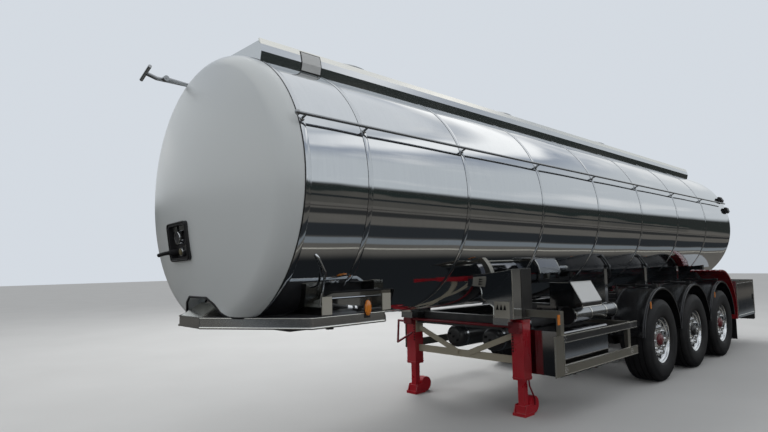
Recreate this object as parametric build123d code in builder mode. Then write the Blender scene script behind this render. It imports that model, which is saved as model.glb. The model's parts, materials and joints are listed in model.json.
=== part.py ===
# Three-axle stainless tank semi-trailer, parked on its landing legs.
# Millimetres, +X forward, +Y to the vehicle's left, +Z up.
# Origin: on the ground under the middle of the vehicle's length and width.
import os
from math import atan2, cos, pi, radians, sin, sqrt

from build123d import *

os.makedirs("parts", exist_ok=True)

# Overall width, and the usual gaps between pieces
overall_width = 2500.0
half_width = overall_width / 2
seat_gap = 0.3
pin_clearance = 0.3

# Stations along the vehicle, measured back from the first ring band
lever_reach = 450.0
axle_back = 5555.0
axle_spacing = 1310.0
axle_count = 3
last_axle_back = axle_back + (axle_count - 1) * axle_spacing
tank_length = 9650.0
rear_overhang = 650.0
tail_back = tank_length + rear_overhang
overall_length = lever_reach + tail_back
front_x = overall_length / 2
rear_x = -front_x
band_x = front_x - lever_reach

# Levels: wheels, then chassis rails over them, then the tank over the rails
tyre_radius = 530.0
ride_height = 325.0
rail_height = 140.0
rail_room = 110.0
tank_radius = 1055.0
tank_axis_z = tyre_radius + ride_height + rail_height + rail_room + tank_radius

# Tank barrel and its ring bands
band_gaps = (560.0, 1170.0, 1250.0, 1270.0, 1290.0, 1370.0, 1330.0)
tank_front_x = band_x + 30.0
tank_rear_x = band_x - tank_length
rear_dish_depth = 300.0
rear_dish_knuckle = 150.0
bead_width = 46.0
bead_height = 3.0

# Inner vessel, seen at the front dish and in the recess over the coupling frame
inner_front_radius = tank_radius - 70.0
inner_front_depth = 180.0
inner_front_knuckle = 120.0
recess_radius = tank_radius - 115.0
recess_drop = tank_radius - 265.0
recess_backs = (200.0, 470.0, 1120.0, 1300.0)
recess_corner = 60.0
front_flat_drop = tank_radius - 105.0

# Front cover moulding
cover_radius = tank_radius + 4.0
cover_collar = 40.0
cover_depth = 300.0
cover_knuckle = 150.0

# Connector panel in the cover
panel_y = -145.0
panel_drop = 390.0
panel_turn = 12.0
panel_size = (360.0, 295.0)
panel_corner = 32.0
panel_depth = 80.0
panel_proud = 14.0
panel_recess = 45.0
panel_lip = 24.0

# Coffer and walkway on the tank's back
coffer_half = 480.0
coffer_top = tank_radius + 60.0
coffer_fold = tank_radius - 22.0
coffer_foot = tank_radius - 155.0
coffer_bulge = 14.0
coffer_sheet = 8.0
coffer_tail = 350.0
coffer_nose = 22.0
deck_half = 430.0
deck_z = tank_radius + 11.0
deck_thick = 22.0
bearer_width = 40.0
bearer_end = 250.0
bearer_count = 5

# Manholes: distance behind the first band
manhole_backs = (1145.0, 3615.0, 6225.0)
manhole_radius = 250.0
manhole_wall = 10.0
manhole_top = tank_radius + 160.0
lid_thick = 18.0
lid_crown = 40.0
lid_hinge_out = 70.0
lid_arm = 80.0
lid_eye = 58.0
manhole_depth = 80.0
manhole_margin = 60.0
ear_step = 70.0
ear_half = 7.0
ear_reach = 22.0
ear_foot = 110.0

# Handrail: a parallel linkage of posts that lie forward and swing up
rail_y = -(coffer_half + 120.0)
rail_pivot_stand = 82.2
rail_pivot_rise = sqrt(tank_radius**2 - rail_y**2) + rail_pivot_stand
rail_post_backs = (615.0, 2630.0, 4645.0, 6660.0)
rail_post_length = 900.0
rail_post_rise = 70.0
rail_tube = 17.0
rail_side_step = 42.0
rail_pin = 8.0
lever_rise = 25.0
lever_grip = 190.0

# Coupling frame, plate and kingpin
frame_bottom = front_flat_drop + 80.0
frame_nose = 320.0
frame_nose_half = 170.0
frame_side_start = 170.0
frame_half = 856.0
frame_side_end = 870.0
frame_length = 1200.0
frame_tail_half = 510.0
plate_bottom = frame_bottom + 50.0
plate_half = 480.0
plate_front = 150.0
plate_bevel = 90.0
plate_edge = 12.0
kingpin_back = 1000.0
kingpin_radius = 25.4
kingpin_collar = 36.5
kingpin_length = 84.0
kingpin_neck = (35.0, 70.0)
saddle_backs = (350.0, 950.0)
saddle_inner = 450.0
saddle_outer = 790.0
saddle_length = 100.0
frame_corner = 30.0

# Running gear
tyre_width = 376.0
rim_radius = 298.0
axle_radius = 73.0
hub_radius = 90.0
rim_wall = 12.0

# Chassis rails
rail_half = half_width - 650.0
rail_width = 90.0
rail_web = 14.0
rail_top = tank_radius + rail_room
rail_bottom = rail_top + rail_height
rail_front_back = 2860.0
bumper_set = 250.0
rail_rear_back = tail_back - bumper_set
rail_face_y = rail_half + rail_width / 2 + seat_gap
rail_inner_y = rail_half - rail_width / 2 - seat_gap

# Landing legs
leg_back = 2934.0
leg_y = half_width - 495.0
leg_outer = 140.0
leg_inner = 72.0
leg_wall = 8.0
leg_collar = 24.0
leg_top = rail_top + 15.0
leg_outer_bottom = leg_top + 620.0
foot_size = (175.0, 150.0, 30.0)
rocker_radius = 88.0
gear_corner = 18.0

# Mudguards and wings
guard_radius = 640.0
guard_wall = 6.0
guard_lip = 14.0
guard_ribs = 4
rib_foot = 60.0
rib_crest = 40.0
rib_height = 6.0

# Corners of the tool box and ends of the air tanks
box_corner = 25.0
air_end = 60.0

band_backs = [sum(band_gaps[:i]) for i in range(len(band_gaps) + 1)]


def x_at(back):
    """X of a station given by its distance behind the first ring band."""
    return band_x - back


def z_at(drop):
    """Z of a level given by its drop below the tank's axis."""
    return tank_axis_z - drop


def save(piece, label):
    """Label a finished part and write it as a STEP file."""
    piece.label = label
    export_step(piece, f"parts/{label}.step")


def block(x0, x1, y0, y1, z0, z1, mode=Mode.ADD):
    """Box between two corners, added to the part in hand."""
    with Locations(((x0 + x1) / 2, (y0 + y1) / 2, (z0 + z1) / 2)):
        Box(abs(x1 - x0), abs(y1 - y0), abs(z1 - z0), mode=mode)


def rod(start, end, radius, mode=Mode.ADD):
    """Round bar from one point to another."""
    start, end = Vector(*start), Vector(*end)
    with Locations(Plane(origin=(start + end) / 2, z_dir=end - start).location):
        Cylinder(radius, (end - start).length, mode=mode)


def tank_cut():
    """Take the tank's barrel and its ring bands out of the part in hand."""
    with Locations(Location((0, 0, tank_axis_z), (0, 90, 0))):
        Cylinder(tank_radius + seat_gap, overall_length, mode=Mode.SUBTRACT)
    with Locations(*[Location((x_at(back), 0, tank_axis_z), (0, 90, 0)) for back in band_backs]):
        Cylinder(tank_radius + bead_height + seat_gap, bead_width + 2 * seat_gap, mode=Mode.SUBTRACT)


def crown_radius(radius, depth, knuckle):
    """Radius of the crown of a dished end."""
    return ((radius - knuckle) ** 2 + depth**2 - knuckle**2) / (2 * (depth - knuckle))


def dish_line(edge_x, way, radius, depth, knuckle):
    """Knuckle arc and crown arc of a dished end, from its rim to its apex."""
    crown = crown_radius(radius, depth, knuckle)
    crown_x = edge_x + way * (depth - crown)
    turn = atan2(radius - knuckle, crown - depth)
    half = (turn + pi / 2) / 2
    rim = (edge_x, tank_axis_z + radius)
    knuckle_mid = (edge_x + way * knuckle * cos(half), rim[1] - knuckle + knuckle * sin(half))
    joint = (crown_x + way * crown * cos(turn), tank_axis_z + crown * sin(turn))
    crown_mid = (crown_x + way * crown * cos(turn / 2), tank_axis_z + crown * sin(turn / 2))
    apex = (edge_x + way * depth, tank_axis_z)
    ThreePointArc(rim, knuckle_mid, joint)
    ThreePointArc(joint, crown_mid, apex)
    return rim, apex

def flat_bar(start, end, width, thick):
    """Flat bar across the vehicle from one point to another, its thickness along X."""
    start, end = Vector(*start), Vector(*end)
    with Locations(Plane(origin=(start + end) / 2, x_dir=(1, 0, 0), z_dir=end - start).location):
        Box(thick, width, (end - start).length)


def ribbed(inner_y, outer_y, low):
    """Section of a ribbed guard of one wall: a lip at both edges and raised ribs between them."""
    top = low + guard_wall
    line = [(inner_y, low - guard_lip), (inner_y, top)]
    for rib in range(1, guard_ribs + 1):
        middle = inner_y + rib * (outer_y - inner_y) / (guard_ribs + 1)
        line += [(middle - rib_foot / 2, top), (middle - rib_crest / 2, top + rib_height),
                 (middle + rib_crest / 2, top + rib_height), (middle + rib_foot / 2, top)]
    line += [(outer_y, top), (outer_y, low - guard_lip), (outer_y - guard_wall, low - guard_lip),
             (outer_y - guard_wall, low), (inner_y + guard_wall, low), (inner_y + guard_wall, low - guard_lip)]
    return line


tank_line = Axis((0, 0, tank_axis_z), (1, 0, 0))

# Tank barrel with raised ring bands and dished ends
with BuildPart() as tank_shell:
    with BuildSketch(Plane.XZ):
        with BuildLine():
            rim_r, apex_r = dish_line(tank_rear_x, -1, tank_radius, rear_dish_depth, rear_dish_knuckle)
            rim_f, apex_f = dish_line(tank_front_x, 1, inner_front_radius,
                                      inner_front_depth, inner_front_knuckle)
            shoulder = (tank_front_x, tank_axis_z + tank_radius)
            outline = [rim_f, shoulder]
            for back in band_backs:
                for edge, rise in ((1, 0), (1, 1), (-1, 1), (-1, 0)):
                    outline.append((x_at(back) + edge * bead_width / 2,
                                    tank_axis_z + tank_radius + rise * bead_height))
            outline.append(rim_r)
            Polyline(*outline)
            Line(apex_r, apex_f)
        make_face()
    revolve(axis=tank_line)
    recess_line = [(front_x, front_flat_drop), (x_at(recess_backs[0]), front_flat_drop),
                   (x_at(recess_backs[1]), recess_drop), (x_at(recess_backs[2]), recess_drop),
                   (x_at(recess_backs[3]), front_flat_drop), (x_at(recess_backs[3]), tank_radius + bead_width),
                   (front_x, tank_radius + bead_width)]
    with BuildSketch(Plane.XZ):
        with BuildLine():
            FilletPolyline(*[(x, z_at(drop)) for x, drop in recess_line], radius=recess_corner, close=True)
        make_face()
    extrude(amount=tank_radius + bead_width, both=True, mode=Mode.SUBTRACT)
    rod((x_at(recess_backs[0] - recess_corner), 0, tank_axis_z),
        (x_at(recess_backs[3] + recess_corner), 0, tank_axis_z), recess_radius)
save(tank_shell.part, "tank_shell")

# White front cover: a moulded dome over the tank's front dish, with an arch cut in its lower edge
arch_half = ((400.0, tank_radius + 145), (360.0, tank_radius - 100), (270.0, tank_radius - 140),
             (225.0, tank_radius - 195), (140.0, tank_radius - 243))
arch_corner = 30.0
crown_cover = crown_radius(cover_radius, cover_depth, cover_knuckle)
cover_centre = Vector(tank_front_x + cover_collar + cover_depth - crown_cover, 0, tank_axis_z)
panel_out = Vector(sqrt(crown_cover**2 - panel_y**2 - panel_drop**2), panel_y, -panel_drop) / crown_cover
panel_plane = Plane(origin=cover_centre + panel_out * (crown_cover + panel_proud),
                    x_dir=(0, cos(radians(panel_turn)), sin(radians(panel_turn))), z_dir=panel_out)
with BuildPart() as front_cover:
    with BuildSketch(Plane.XZ):
        with BuildLine():
            cover_back_x = tank_front_x + seat_gap
            rim_o, apex_o = dish_line(tank_front_x + cover_collar, 1, cover_radius, cover_depth, cover_knuckle)
            rim_i, apex_i = dish_line(cover_back_x, 1, inner_front_radius, inner_front_depth, inner_front_knuckle)
            Polyline(rim_i, (cover_back_x, rim_o[1]), rim_o)
            Line(apex_o, apex_i)
        make_face()
    revolve(axis=tank_line)
    block(tank_front_x, front_x, -tank_radius, tank_radius,
          z_at(front_flat_drop), z_at(cover_radius + bead_width), mode=Mode.SUBTRACT)
    with BuildSketch(Plane.YZ.offset(tank_front_x)):
        with BuildLine():
            FilletPolyline(*[(y, z_at(drop)) for y, drop in arch_half],
                           *[(-y, z_at(drop)) for y, drop in reversed(arch_half)], radius=arch_corner, close=True)
        make_face()
    extrude(amount=front_x - tank_front_x, mode=Mode.SUBTRACT)
    with BuildSketch(panel_plane.offset(-panel_depth - seat_gap)):
        RectangleRounded(panel_size[0] + 2 * seat_gap, panel_size[1] + 2 * seat_gap, panel_corner)
    extrude(amount=2 * panel_depth, mode=Mode.SUBTRACT)
save(front_cover.part, "front_cover")

# Connector panel: a tray tangent to the dome, with sockets as (across, up, radius, reach)
panel_sockets = ((20.0, 43.0, 50.0, 45.0), (15.0, -82.0, 32.0, 30.0), (-120.0, -75.0, 22.0, 95.0))
with BuildPart() as connector_panel:
    with BuildSketch(panel_plane):
        RectangleRounded(*panel_size, panel_corner)
    extrude(amount=-panel_depth)
    with BuildSketch(panel_plane):
        RectangleRounded(panel_size[0] - 2 * panel_lip, panel_size[1] - 2 * panel_lip, panel_corner / 2)
    extrude(amount=-panel_recess, taper=5, mode=Mode.SUBTRACT)
    for across, up, radius, reach in panel_sockets:
        rod(panel_plane.from_local_coords((across, up, -panel_recess - seat_gap)),
            panel_plane.from_local_coords((across, up, reach - panel_recess)), radius)
save(connector_panel.part, "connector_panel")

# Coffer: two folded side walls and two end sheets between them
wall_line = ((coffer_half, coffer_foot), (coffer_half + coffer_bulge, coffer_fold), (coffer_half, coffer_top))
coffer_front = x_at(-coffer_nose)
coffer_rear = tank_rear_x + coffer_tail
with BuildPart() as coffer:
    with BuildSketch(Plane.YZ.offset(coffer_rear)):
        with BuildLine():
            Polyline(*[(y, tank_axis_z + z) for y, z in wall_line],
                     *[(y - coffer_sheet, tank_axis_z + z) for y, z in reversed(wall_line)], close=True)
        make_face()
        mirror(about=Plane.YZ)
    extrude(amount=coffer_front - coffer_rear)
    inner_line = [(y - coffer_sheet - seat_gap, tank_axis_z + z) for y, z in wall_line]
    with BuildSketch(Plane.YZ.offset(coffer_rear), Plane.YZ.offset(coffer_front - coffer_sheet)):
        with BuildLine():
            Polyline(*inner_line, *[(-y, z) for y, z in reversed(inner_line)], close=True)
        make_face()
    extrude(amount=coffer_sheet)
    tank_cut()
save(coffer.part, "coffer")

# Walkway deck on cross bearers, with a hole at each manhole
deck_front = coffer_front - bearer_width
deck_rear = coffer_rear + bearer_width
bearer_pitch = (deck_front - deck_rear - 2 * bearer_end) / (bearer_count - 1)
with BuildPart() as walkway:
    block(deck_rear, deck_front, -deck_half, deck_half, z_at(-deck_z), z_at(-deck_z - deck_thick))
    for x in (deck_rear + bearer_end + number * bearer_pitch for number in range(bearer_count)):
        block(x - bearer_width / 2, x + bearer_width / 2, -deck_half, deck_half, z_at(-coffer_foot), z_at(-deck_z))
    with Locations(*[(x_at(back), 0, z_at(-deck_z)) for back in manhole_backs]):
        Cylinder(manhole_radius + manhole_margin, 2 * (deck_z - coffer_foot), mode=Mode.SUBTRACT)
    tank_cut()
save(walkway.part, "walkway")

# Manhole necks with two hinge ears each
lid_seat = manhole_top + seat_gap
hinge_x_offset = -(manhole_radius + lid_hinge_out)
hinge_rise = manhole_top + lid_thick / 2
with BuildPart() as manhole_necks:
    for back in manhole_backs:
        hinge_x = x_at(back) + hinge_x_offset
        rod((x_at(back), 0, z_at(-coffer_foot)), (x_at(back), 0, z_at(-manhole_top)), manhole_radius)
        for ear_y in (-ear_step, ear_step):
            block(hinge_x - ear_reach, x_at(back) - manhole_radius + manhole_wall, ear_y - ear_half, ear_y + ear_half,
                  z_at(-manhole_top + ear_foot), z_at(-manhole_top + manhole_wall))
            block(hinge_x - ear_reach, hinge_x + ear_reach, ear_y - ear_half, ear_y + ear_half,
                  z_at(-manhole_top + manhole_wall), z_at(-hinge_rise - ear_reach))
        rod((x_at(back), 0, z_at(-manhole_top + manhole_depth)), (x_at(back), 0, z_at(-manhole_top)),
            manhole_radius - manhole_wall, mode=Mode.SUBTRACT)
    for back in manhole_backs:
        rod((x_at(back) + hinge_x_offset, -ear_step - ear_reach, z_at(-hinge_rise)),
            (x_at(back) + hinge_x_offset, ear_step + ear_reach, z_at(-hinge_rise)), rail_pin)
    tank_cut()
save(manhole_necks.part, "manhole_necks")

# Manhole lids: crowned discs with a hinge arm and eye
for number, back in enumerate(manhole_backs, 1):
    hinge_x = x_at(back) + hinge_x_offset
    lid_edge = x_at(back) + manhole_radius + manhole_wall
    with BuildPart() as manhole_lid:
        with BuildSketch(Plane.XZ):
            with BuildLine():
                low = z_at(-lid_seat)
                Line((x_at(back), low), (lid_edge, low))
                Line((lid_edge, low), (lid_edge, low + lid_thick))
                RadiusArc((lid_edge, low + lid_thick), (x_at(back), low + lid_thick + lid_crown), -manhole_radius * 1.2)
                Line((x_at(back), low + lid_thick + lid_crown), (x_at(back), low))
            make_face()
        revolve(axis=Axis((x_at(back), 0, 0), (0, 0, 1)))
        block(hinge_x, x_at(back) - manhole_radius + lid_arm / 2, -lid_arm / 2, lid_arm / 2, low, low + lid_thick)
        rod((hinge_x, -lid_eye, z_at(-hinge_rise)), (hinge_x, lid_eye, z_at(-hinge_rise)), lid_thick - 1)
        rod((hinge_x, -ear_step, z_at(-hinge_rise)), (hinge_x, ear_step, z_at(-hinge_rise)),
            rail_pin + pin_clearance, mode=Mode.SUBTRACT)
    save(manhole_lid.part, f"manhole_lid_{number}")

# Handrail feet: two ears and a pin for each post
pivot_z = z_at(-rail_pivot_rise)
post_run = sqrt(rail_post_length**2 - rail_post_rise**2)
rail_z = pivot_z + rail_post_rise
with BuildPart() as handrail_feet:
    for back in rail_post_backs:
        x = x_at(back)
        for ear in (-29, 29):
            block(x - 28, x + 28, rail_y + ear - 5, rail_y + ear + 5, z_at(rail_y), pivot_z + 26)
        rod((x, rail_y - 34, pivot_z), (x, rail_y + 34, pivot_z), rail_pin)
    tank_cut()
save(handrail_feet.part, "handrail_feet")

# Handrail posts: an eye at each end
for number, back in enumerate(rail_post_backs, 1):
    low_end = Vector(x_at(back), rail_y, pivot_z)
    high_end = Vector(x_at(back) + post_run, rail_y, rail_z)
    across = Vector(0, 22, 0)
    with BuildPart() as post:
        rod(low_end, high_end, rail_tube)
        for end in (low_end, high_end):
            rod(end - across, end + across, 24)
        for end in (low_end, high_end):
            rod(end - 3 * across, end + 3 * across, rail_pin + pin_clearance, mode=Mode.SUBTRACT)
    save(post.part, f"handrail_post_{number}")

# Handrail bar beside the posts' upper ends, bent to a cross grip at the front
bar_y = rail_y - rail_side_step
with BuildPart() as handrail_bar:
    first = x_at(rail_post_backs[0]) + post_run
    last = x_at(rail_post_backs[-1]) + post_run
    grip_x = front_x - 15
    rod((first + 60, bar_y, rail_z), (last - 120, bar_y, rail_z), rail_tube)
    rod((first + 60, bar_y, rail_z), (grip_x, bar_y, rail_z + lever_rise), rail_tube)
    with Locations((first + 60, bar_y, rail_z)):
        Sphere(rail_tube)
    rod((grip_x, bar_y - lever_grip / 2, rail_z + lever_rise - 35),
        (grip_x, bar_y + lever_grip / 2, rail_z + lever_rise + 35), 15)
    for back in rail_post_backs:
        x = x_at(back) + post_run
        rod((x, bar_y, rail_z), (x, rail_y + 26, rail_z), rail_pin)
save(handrail_bar.part, "handrail_bar")

# Side rails: a thin tube on short brackets at each ring band
side_rail_radius = tank_radius + 60
side_rail_rise = 425.0
side_rail_nose = 70.0
side_rail_tail = 150.0
side_rail_y = sqrt(side_rail_radius**2 - side_rail_rise**2)
with BuildPart() as side_rails:
    for side in (-1, 1):
        y = side * side_rail_y
        rail_start = (x_at(-side_rail_nose), y, z_at(-side_rail_rise))
        rod(rail_start, (tank_rear_x + side_rail_tail, y, z_at(-side_rail_rise)), 12)
        for back in band_backs:
            inner = (tank_radius + bead_height + seat_gap) / side_rail_radius
            rod((x_at(back), y * inner, tank_axis_z + side_rail_rise * inner),
                (x_at(back), y, z_at(-side_rail_rise)), 9)
        with Locations(rail_start):
            Sphere(20)
save(side_rails.part, "side_rails")

# Coupling frame: a shallow closed box with a chamfered nose and tail
frame_half_line = ((x_at(-frame_nose), frame_nose_half), (x_at(frame_side_start), frame_half),
                   (x_at(frame_side_end), frame_half), (x_at(frame_length), frame_tail_half))
with BuildPart() as coupling_frame:
    with BuildSketch(Plane.XY.offset(z_at(frame_bottom))):
        with BuildLine():
            Polyline(*frame_half_line, *[(x, -y) for x, y in reversed(frame_half_line)], close=True)
        make_face()
    extrude(amount=frame_bottom - front_flat_drop)
    fillet(coupling_frame.edges().filter_by(Axis.Z), frame_corner)
save(coupling_frame.part, "coupling_frame")

# Kingpin plate with the kingpin: collar, neck and head
plate_top = frame_bottom + seat_gap
plate_rear_x = x_at(frame_length) + plate_edge
with BuildPart() as kingpin_plate:
    with BuildSketch(Plane.XZ.offset(-plate_half)):
        with BuildLine():
            Polyline((plate_rear_x, z_at(plate_top)), (x_at(plate_front), z_at(plate_top)),
                     (x_at(plate_front), z_at(plate_top + plate_edge)),
                     (x_at(plate_front + plate_bevel), z_at(plate_bottom)),
                     (plate_rear_x, z_at(plate_bottom)), close=True)
        make_face()
    extrude(amount=2 * plate_half)
    pin_x = x_at(kingpin_back)
    for top, low, radius in ((0, kingpin_neck[0], kingpin_collar), (*kingpin_neck, kingpin_radius),
                             (kingpin_neck[1], kingpin_length, kingpin_collar)):
        rod((pin_x, 0, z_at(plate_bottom + top)), (pin_x, 0, z_at(plate_bottom + low)), radius)
save(kingpin_plate.part, "kingpin_plate")

# Front saddles: blocks between the coupling frame and the inner vessel, fitted into the recess
saddle_line = [(x_at(back), drop + seat_gap)
               for back, drop in zip(recess_backs, (front_flat_drop, recess_drop, recess_drop, front_flat_drop))]
with BuildPart() as front_saddles:
    for back in saddle_backs:
        for side in (-1, 1):
            block(x_at(back) - saddle_length / 2, x_at(back) + saddle_length / 2, side * saddle_inner,
                  side * saddle_outer, z_at(front_flat_drop - seat_gap), z_at(recess_drop))
    with BuildSketch(Plane.XZ):
        with BuildLine():
            Polyline(*[(x, z_at(drop)) for x, drop in saddle_line], close=True)
        make_face()
    extrude(amount=tank_radius, both=True, mode=Mode.INTERSECT)
    rod((rear_x, 0, tank_axis_z), (front_x, 0, tank_axis_z), recess_radius + seat_gap, mode=Mode.SUBTRACT)
save(front_saddles.part, "front_saddles")

# Chassis rails: two channels, and cross members between their flanges
cradle_backs = [axle_back + (number - 0.5) * axle_spacing for number in range(axle_count + 1)]
cross_backs = [leg_back, *cradle_backs, rail_rear_back - 50]
with BuildPart() as chassis_rails:
    for side in (-1, 1):
        outer_y = rail_half + rail_width / 2
        for low, high, wide in ((rail_bottom, rail_bottom - rail_web, rail_width),
                                (rail_top + rail_web, rail_top, rail_width),
                                (rail_bottom, rail_top, rail_web)):
            block(x_at(rail_rear_back), x_at(rail_front_back), side * (outer_y - wide), side * outer_y,
                  z_at(low), z_at(high))
    for back in cross_backs:
        block(x_at(back) - 35, x_at(back) + 35, -rail_inner_y, rail_inner_y, z_at(rail_bottom), z_at(rail_top))
save(chassis_rails.part, "chassis_rails")

# Tank cradles on the rails: folded webs between the axles, and a deep saddle over the legs
cradle_foot = rail_top - seat_gap
cradle_out = half_width - 450
cradle_width = 80.0
cradle_line = ((300.0, tank_radius - 155), (cradle_out, tank_radius - 405), (cradle_out, cradle_foot),
               (rail_half - 40, cradle_foot), (330.0, tank_radius - 15))
leg_saddle_out = cradle_out + 30
leg_saddle_in = rail_half - 12
leg_saddle_line = ((436.0, tank_radius - 155), (leg_saddle_out, tank_radius - 415), (leg_saddle_out, cradle_foot),
                   (leg_saddle_in, cradle_foot), (leg_saddle_in, tank_radius + 3), (436.0, tank_radius - 95))
leg_saddle_front = leg_back - 234
leg_saddle_length = 350.0
neck_length = 100.0
neck_line = (rail_half - 25, leg_y - 3)
neck_drop = rail_top + 65.0
with BuildPart() as tank_cradles:
    for back, length, line in ((leg_saddle_front + leg_saddle_length / 2, leg_saddle_length, leg_saddle_line),
                               *[(back, cradle_width, cradle_line) for back in cradle_backs]):
        with BuildSketch(Plane.YZ.offset(x_at(back) - length / 2)):
            with BuildLine():
                Polyline(*[(y, z_at(drop)) for y, drop in line], close=True)
            make_face()
            mirror(about=Plane.YZ)
        extrude(amount=length)
    for side in (-1, 1):
        block(x_at(leg_saddle_front + neck_length), x_at(leg_saddle_front), side * neck_line[0],
              side * neck_line[1], z_at(neck_drop), z_at(cradle_foot))
    tank_cut()
save(tank_cradles.part, "tank_cradles")

# Landing legs: outer tubes with a collar at the foot, then inner tubes with ankle, rocker and foot plate
leg_x = x_at(leg_back)
leg_bore = leg_inner / 2 + seat_gap
leg_room = leg_outer / 2 - leg_wall
with BuildPart() as leg_outers:
    for side in (-1, 1):
        y = side * leg_y
        block(leg_x - leg_outer / 2, leg_x + leg_outer / 2, y - leg_outer / 2, y + leg_outer / 2,
              z_at(leg_outer_bottom), z_at(leg_top))
        block(leg_x - leg_room, leg_x + leg_room, y - leg_room, y + leg_room,
              z_at(leg_outer_bottom - leg_collar), z_at(leg_top + leg_wall), mode=Mode.SUBTRACT)
        block(leg_x - leg_bore, leg_x + leg_bore, y - leg_bore, y + leg_bore,
              z_at(leg_outer_bottom), z_at(leg_outer_bottom - leg_collar), mode=Mode.SUBTRACT)
save(leg_outers.part, "leg_outers")

ankle_half = 55.0
ankle_top = 100.0
rocker_back = 140.0
rocker_half = 45.0
with BuildPart() as leg_feet:
    for side in (-1, 1):
        y = side * leg_y
        block(leg_x - leg_inner / 2, leg_x + leg_inner / 2, y - leg_inner / 2, y + leg_inner / 2,
              foot_size[2], z_at(leg_top + leg_outer))
        block(leg_x - ankle_half, leg_x + ankle_half, y - ankle_half, y + ankle_half, foot_size[2], ankle_top)
        block(leg_x - foot_size[0] / 2, leg_x + foot_size[0] / 2, y - foot_size[1] / 2, y + foot_size[1] / 2,
              0, foot_size[2])
        rod((leg_x - rocker_back, y - rocker_half, rocker_radius + 2),
            (leg_x - rocker_back, y + rocker_half, rocker_radius + 2), rocker_radius)
save(leg_feet.part, "leg_feet")

# Leg brackets: side plates on the rails, a flat cross bar low down and flat diagonals in front of it
bracket_y = leg_y - leg_outer / 2 - seat_gap
bracket_plate = 12.0
bracket_half = 60.0
bracket_bottom = rail_bottom + 115
bar_drop = rail_bottom + 305
bar_width = 80.0
bar_thick = 12.0
diagonal_foot_y = 70.0
diagonal_top_drop = rail_bottom + 56
with BuildPart() as leg_brackets:
    for side in (-1, 1):
        block(leg_x - bracket_half, leg_x + bracket_half, side * (bracket_y - bracket_plate), side * bracket_y,
              z_at(bracket_bottom), z_at(rail_top))
        block(leg_x - bracket_half, leg_x + bracket_half, side * rail_face_y, side * (bracket_y - bracket_plate),
              z_at(rail_bottom), z_at(rail_top))
        with Locations((bar_thick + seat_gap, 0, 0)):
            flat_bar((leg_x, side * diagonal_foot_y, z_at(bar_drop - 10)),
                     (leg_x, side * (bracket_y - 2 * bracket_plate), z_at(diagonal_top_drop)), 60, bar_thick)
    flat_bar((leg_x, -bracket_y, z_at(bar_drop)), (leg_x, bracket_y, z_at(bar_drop)), bar_width, bar_thick)
save(leg_brackets.part, "leg_brackets")

# Leg drive: gear housings on the legs, cross shaft, and a crank folded back to the leg
gear_half = 66.0
gear_depth = 56.0
gear_top = leg_top + 25.0
gear_bottom = leg_top + 140.0
shaft_drop = leg_top + 75.0
shaft_radius = 17.0
crank_drop = leg_top + 110.0
crank_length = 255.0
crank_fold = 50.0
leg_face_x = leg_x + leg_outer / 2 + seat_gap
shaft_x = leg_face_x + gear_depth / 2
crank_y = -(leg_y + leg_outer / 2 + 110)
crank_end = (shaft_x + crank_fold, crank_y + 30, z_at(crank_drop + crank_length))
crank_start = (shaft_x, crank_y, z_at(crank_drop))
with BuildPart() as leg_drive:
    for side in (-1, 1):
        block(leg_face_x, leg_face_x + gear_depth, side * (leg_y - gear_half), side * (leg_y + gear_half),
              z_at(gear_bottom), z_at(gear_top))
    fillet(leg_drive.edges().filter_by(Axis.X), gear_corner)
    shaft_half = leg_y - gear_half - seat_gap
    rod((shaft_x, -shaft_half, z_at(shaft_drop)), (shaft_x, shaft_half, z_at(shaft_drop)), shaft_radius)
    rod((shaft_x, -(leg_y + gear_half + seat_gap), z_at(crank_drop)), crank_start, 14)
    rod(crank_start, crank_end, 13)
    rod(crank_end, (shaft_x + crank_fold - 10, -(leg_y - 90), z_at(crank_drop + crank_length / 2)), 13)
    for corner in (crank_start, crank_end):
        with Locations(corner):
            Sphere(14)
save(leg_drive.part, "leg_drive")

# Axles between their drums, and drums with hub spindles
wheel_z = tyre_radius
disc_outer_y = half_width - 70
disc_set = 60.0
hub_face_y = disc_outer_y - disc_set - rim_wall - seat_gap
drum_inner_y = half_width - 510
drum_width = 110.0
drum_radius = 205.0
spindle_radius = hub_radius + 40
axle_xs = [x_at(axle_back + number * axle_spacing) for number in range(axle_count)]
with BuildPart() as axles:
    for x in axle_xs:
        rod((x, seat_gap - drum_inner_y, wheel_z), (x, drum_inner_y - seat_gap, wheel_z), axle_radius)
        for side in (-1, 1):
            rod((x, side * drum_inner_y, wheel_z), (x, side * (drum_inner_y + drum_width), wheel_z), drum_radius)
            rod((x, side * drum_inner_y, wheel_z), (x, side * hub_face_y, wheel_z), spindle_radius)
save(axles.part, "axles")

# Trailing arms: clamped round the axles, with an eye at the front and an air spring seat at the back
arm_eye_x = 460.0
arm_eye_z = wheel_z + 220
arm_pin = 18.0
arm_half = 45.0
with BuildPart() as trailing_arms:
    for x in axle_xs:
        for side in (-1, 1):
            arm_y = side * rail_half
            with BuildSketch(Plane.XZ.offset(-arm_y - arm_half)):
                with BuildLine():
                    Polyline((x + 440, wheel_z + 185), (x + 110, wheel_z - 95), (x - 110, wheel_z - 95),
                             (x - 540, wheel_z + 20), (x - 540, wheel_z + 60), (x - 250, wheel_z + 60),
                             (x - 100, wheel_z + 95), (x + 110, wheel_z + 95), (x + 430, wheel_z + 245),
                             close=True)
                make_face()
            extrude(amount=2 * arm_half)
            eye = ((x + arm_eye_x, arm_y - arm_half, arm_eye_z), (x + arm_eye_x, arm_y + arm_half, arm_eye_z))
            rod(*eye, 46)
            rod(*eye, arm_pin + pin_clearance, mode=Mode.SUBTRACT)
        rod((x, -drum_inner_y, wheel_z), (x, drum_inner_y, wheel_z), axle_radius + seat_gap, mode=Mode.SUBTRACT)
save(trailing_arms.part, "trailing_arms")

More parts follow.
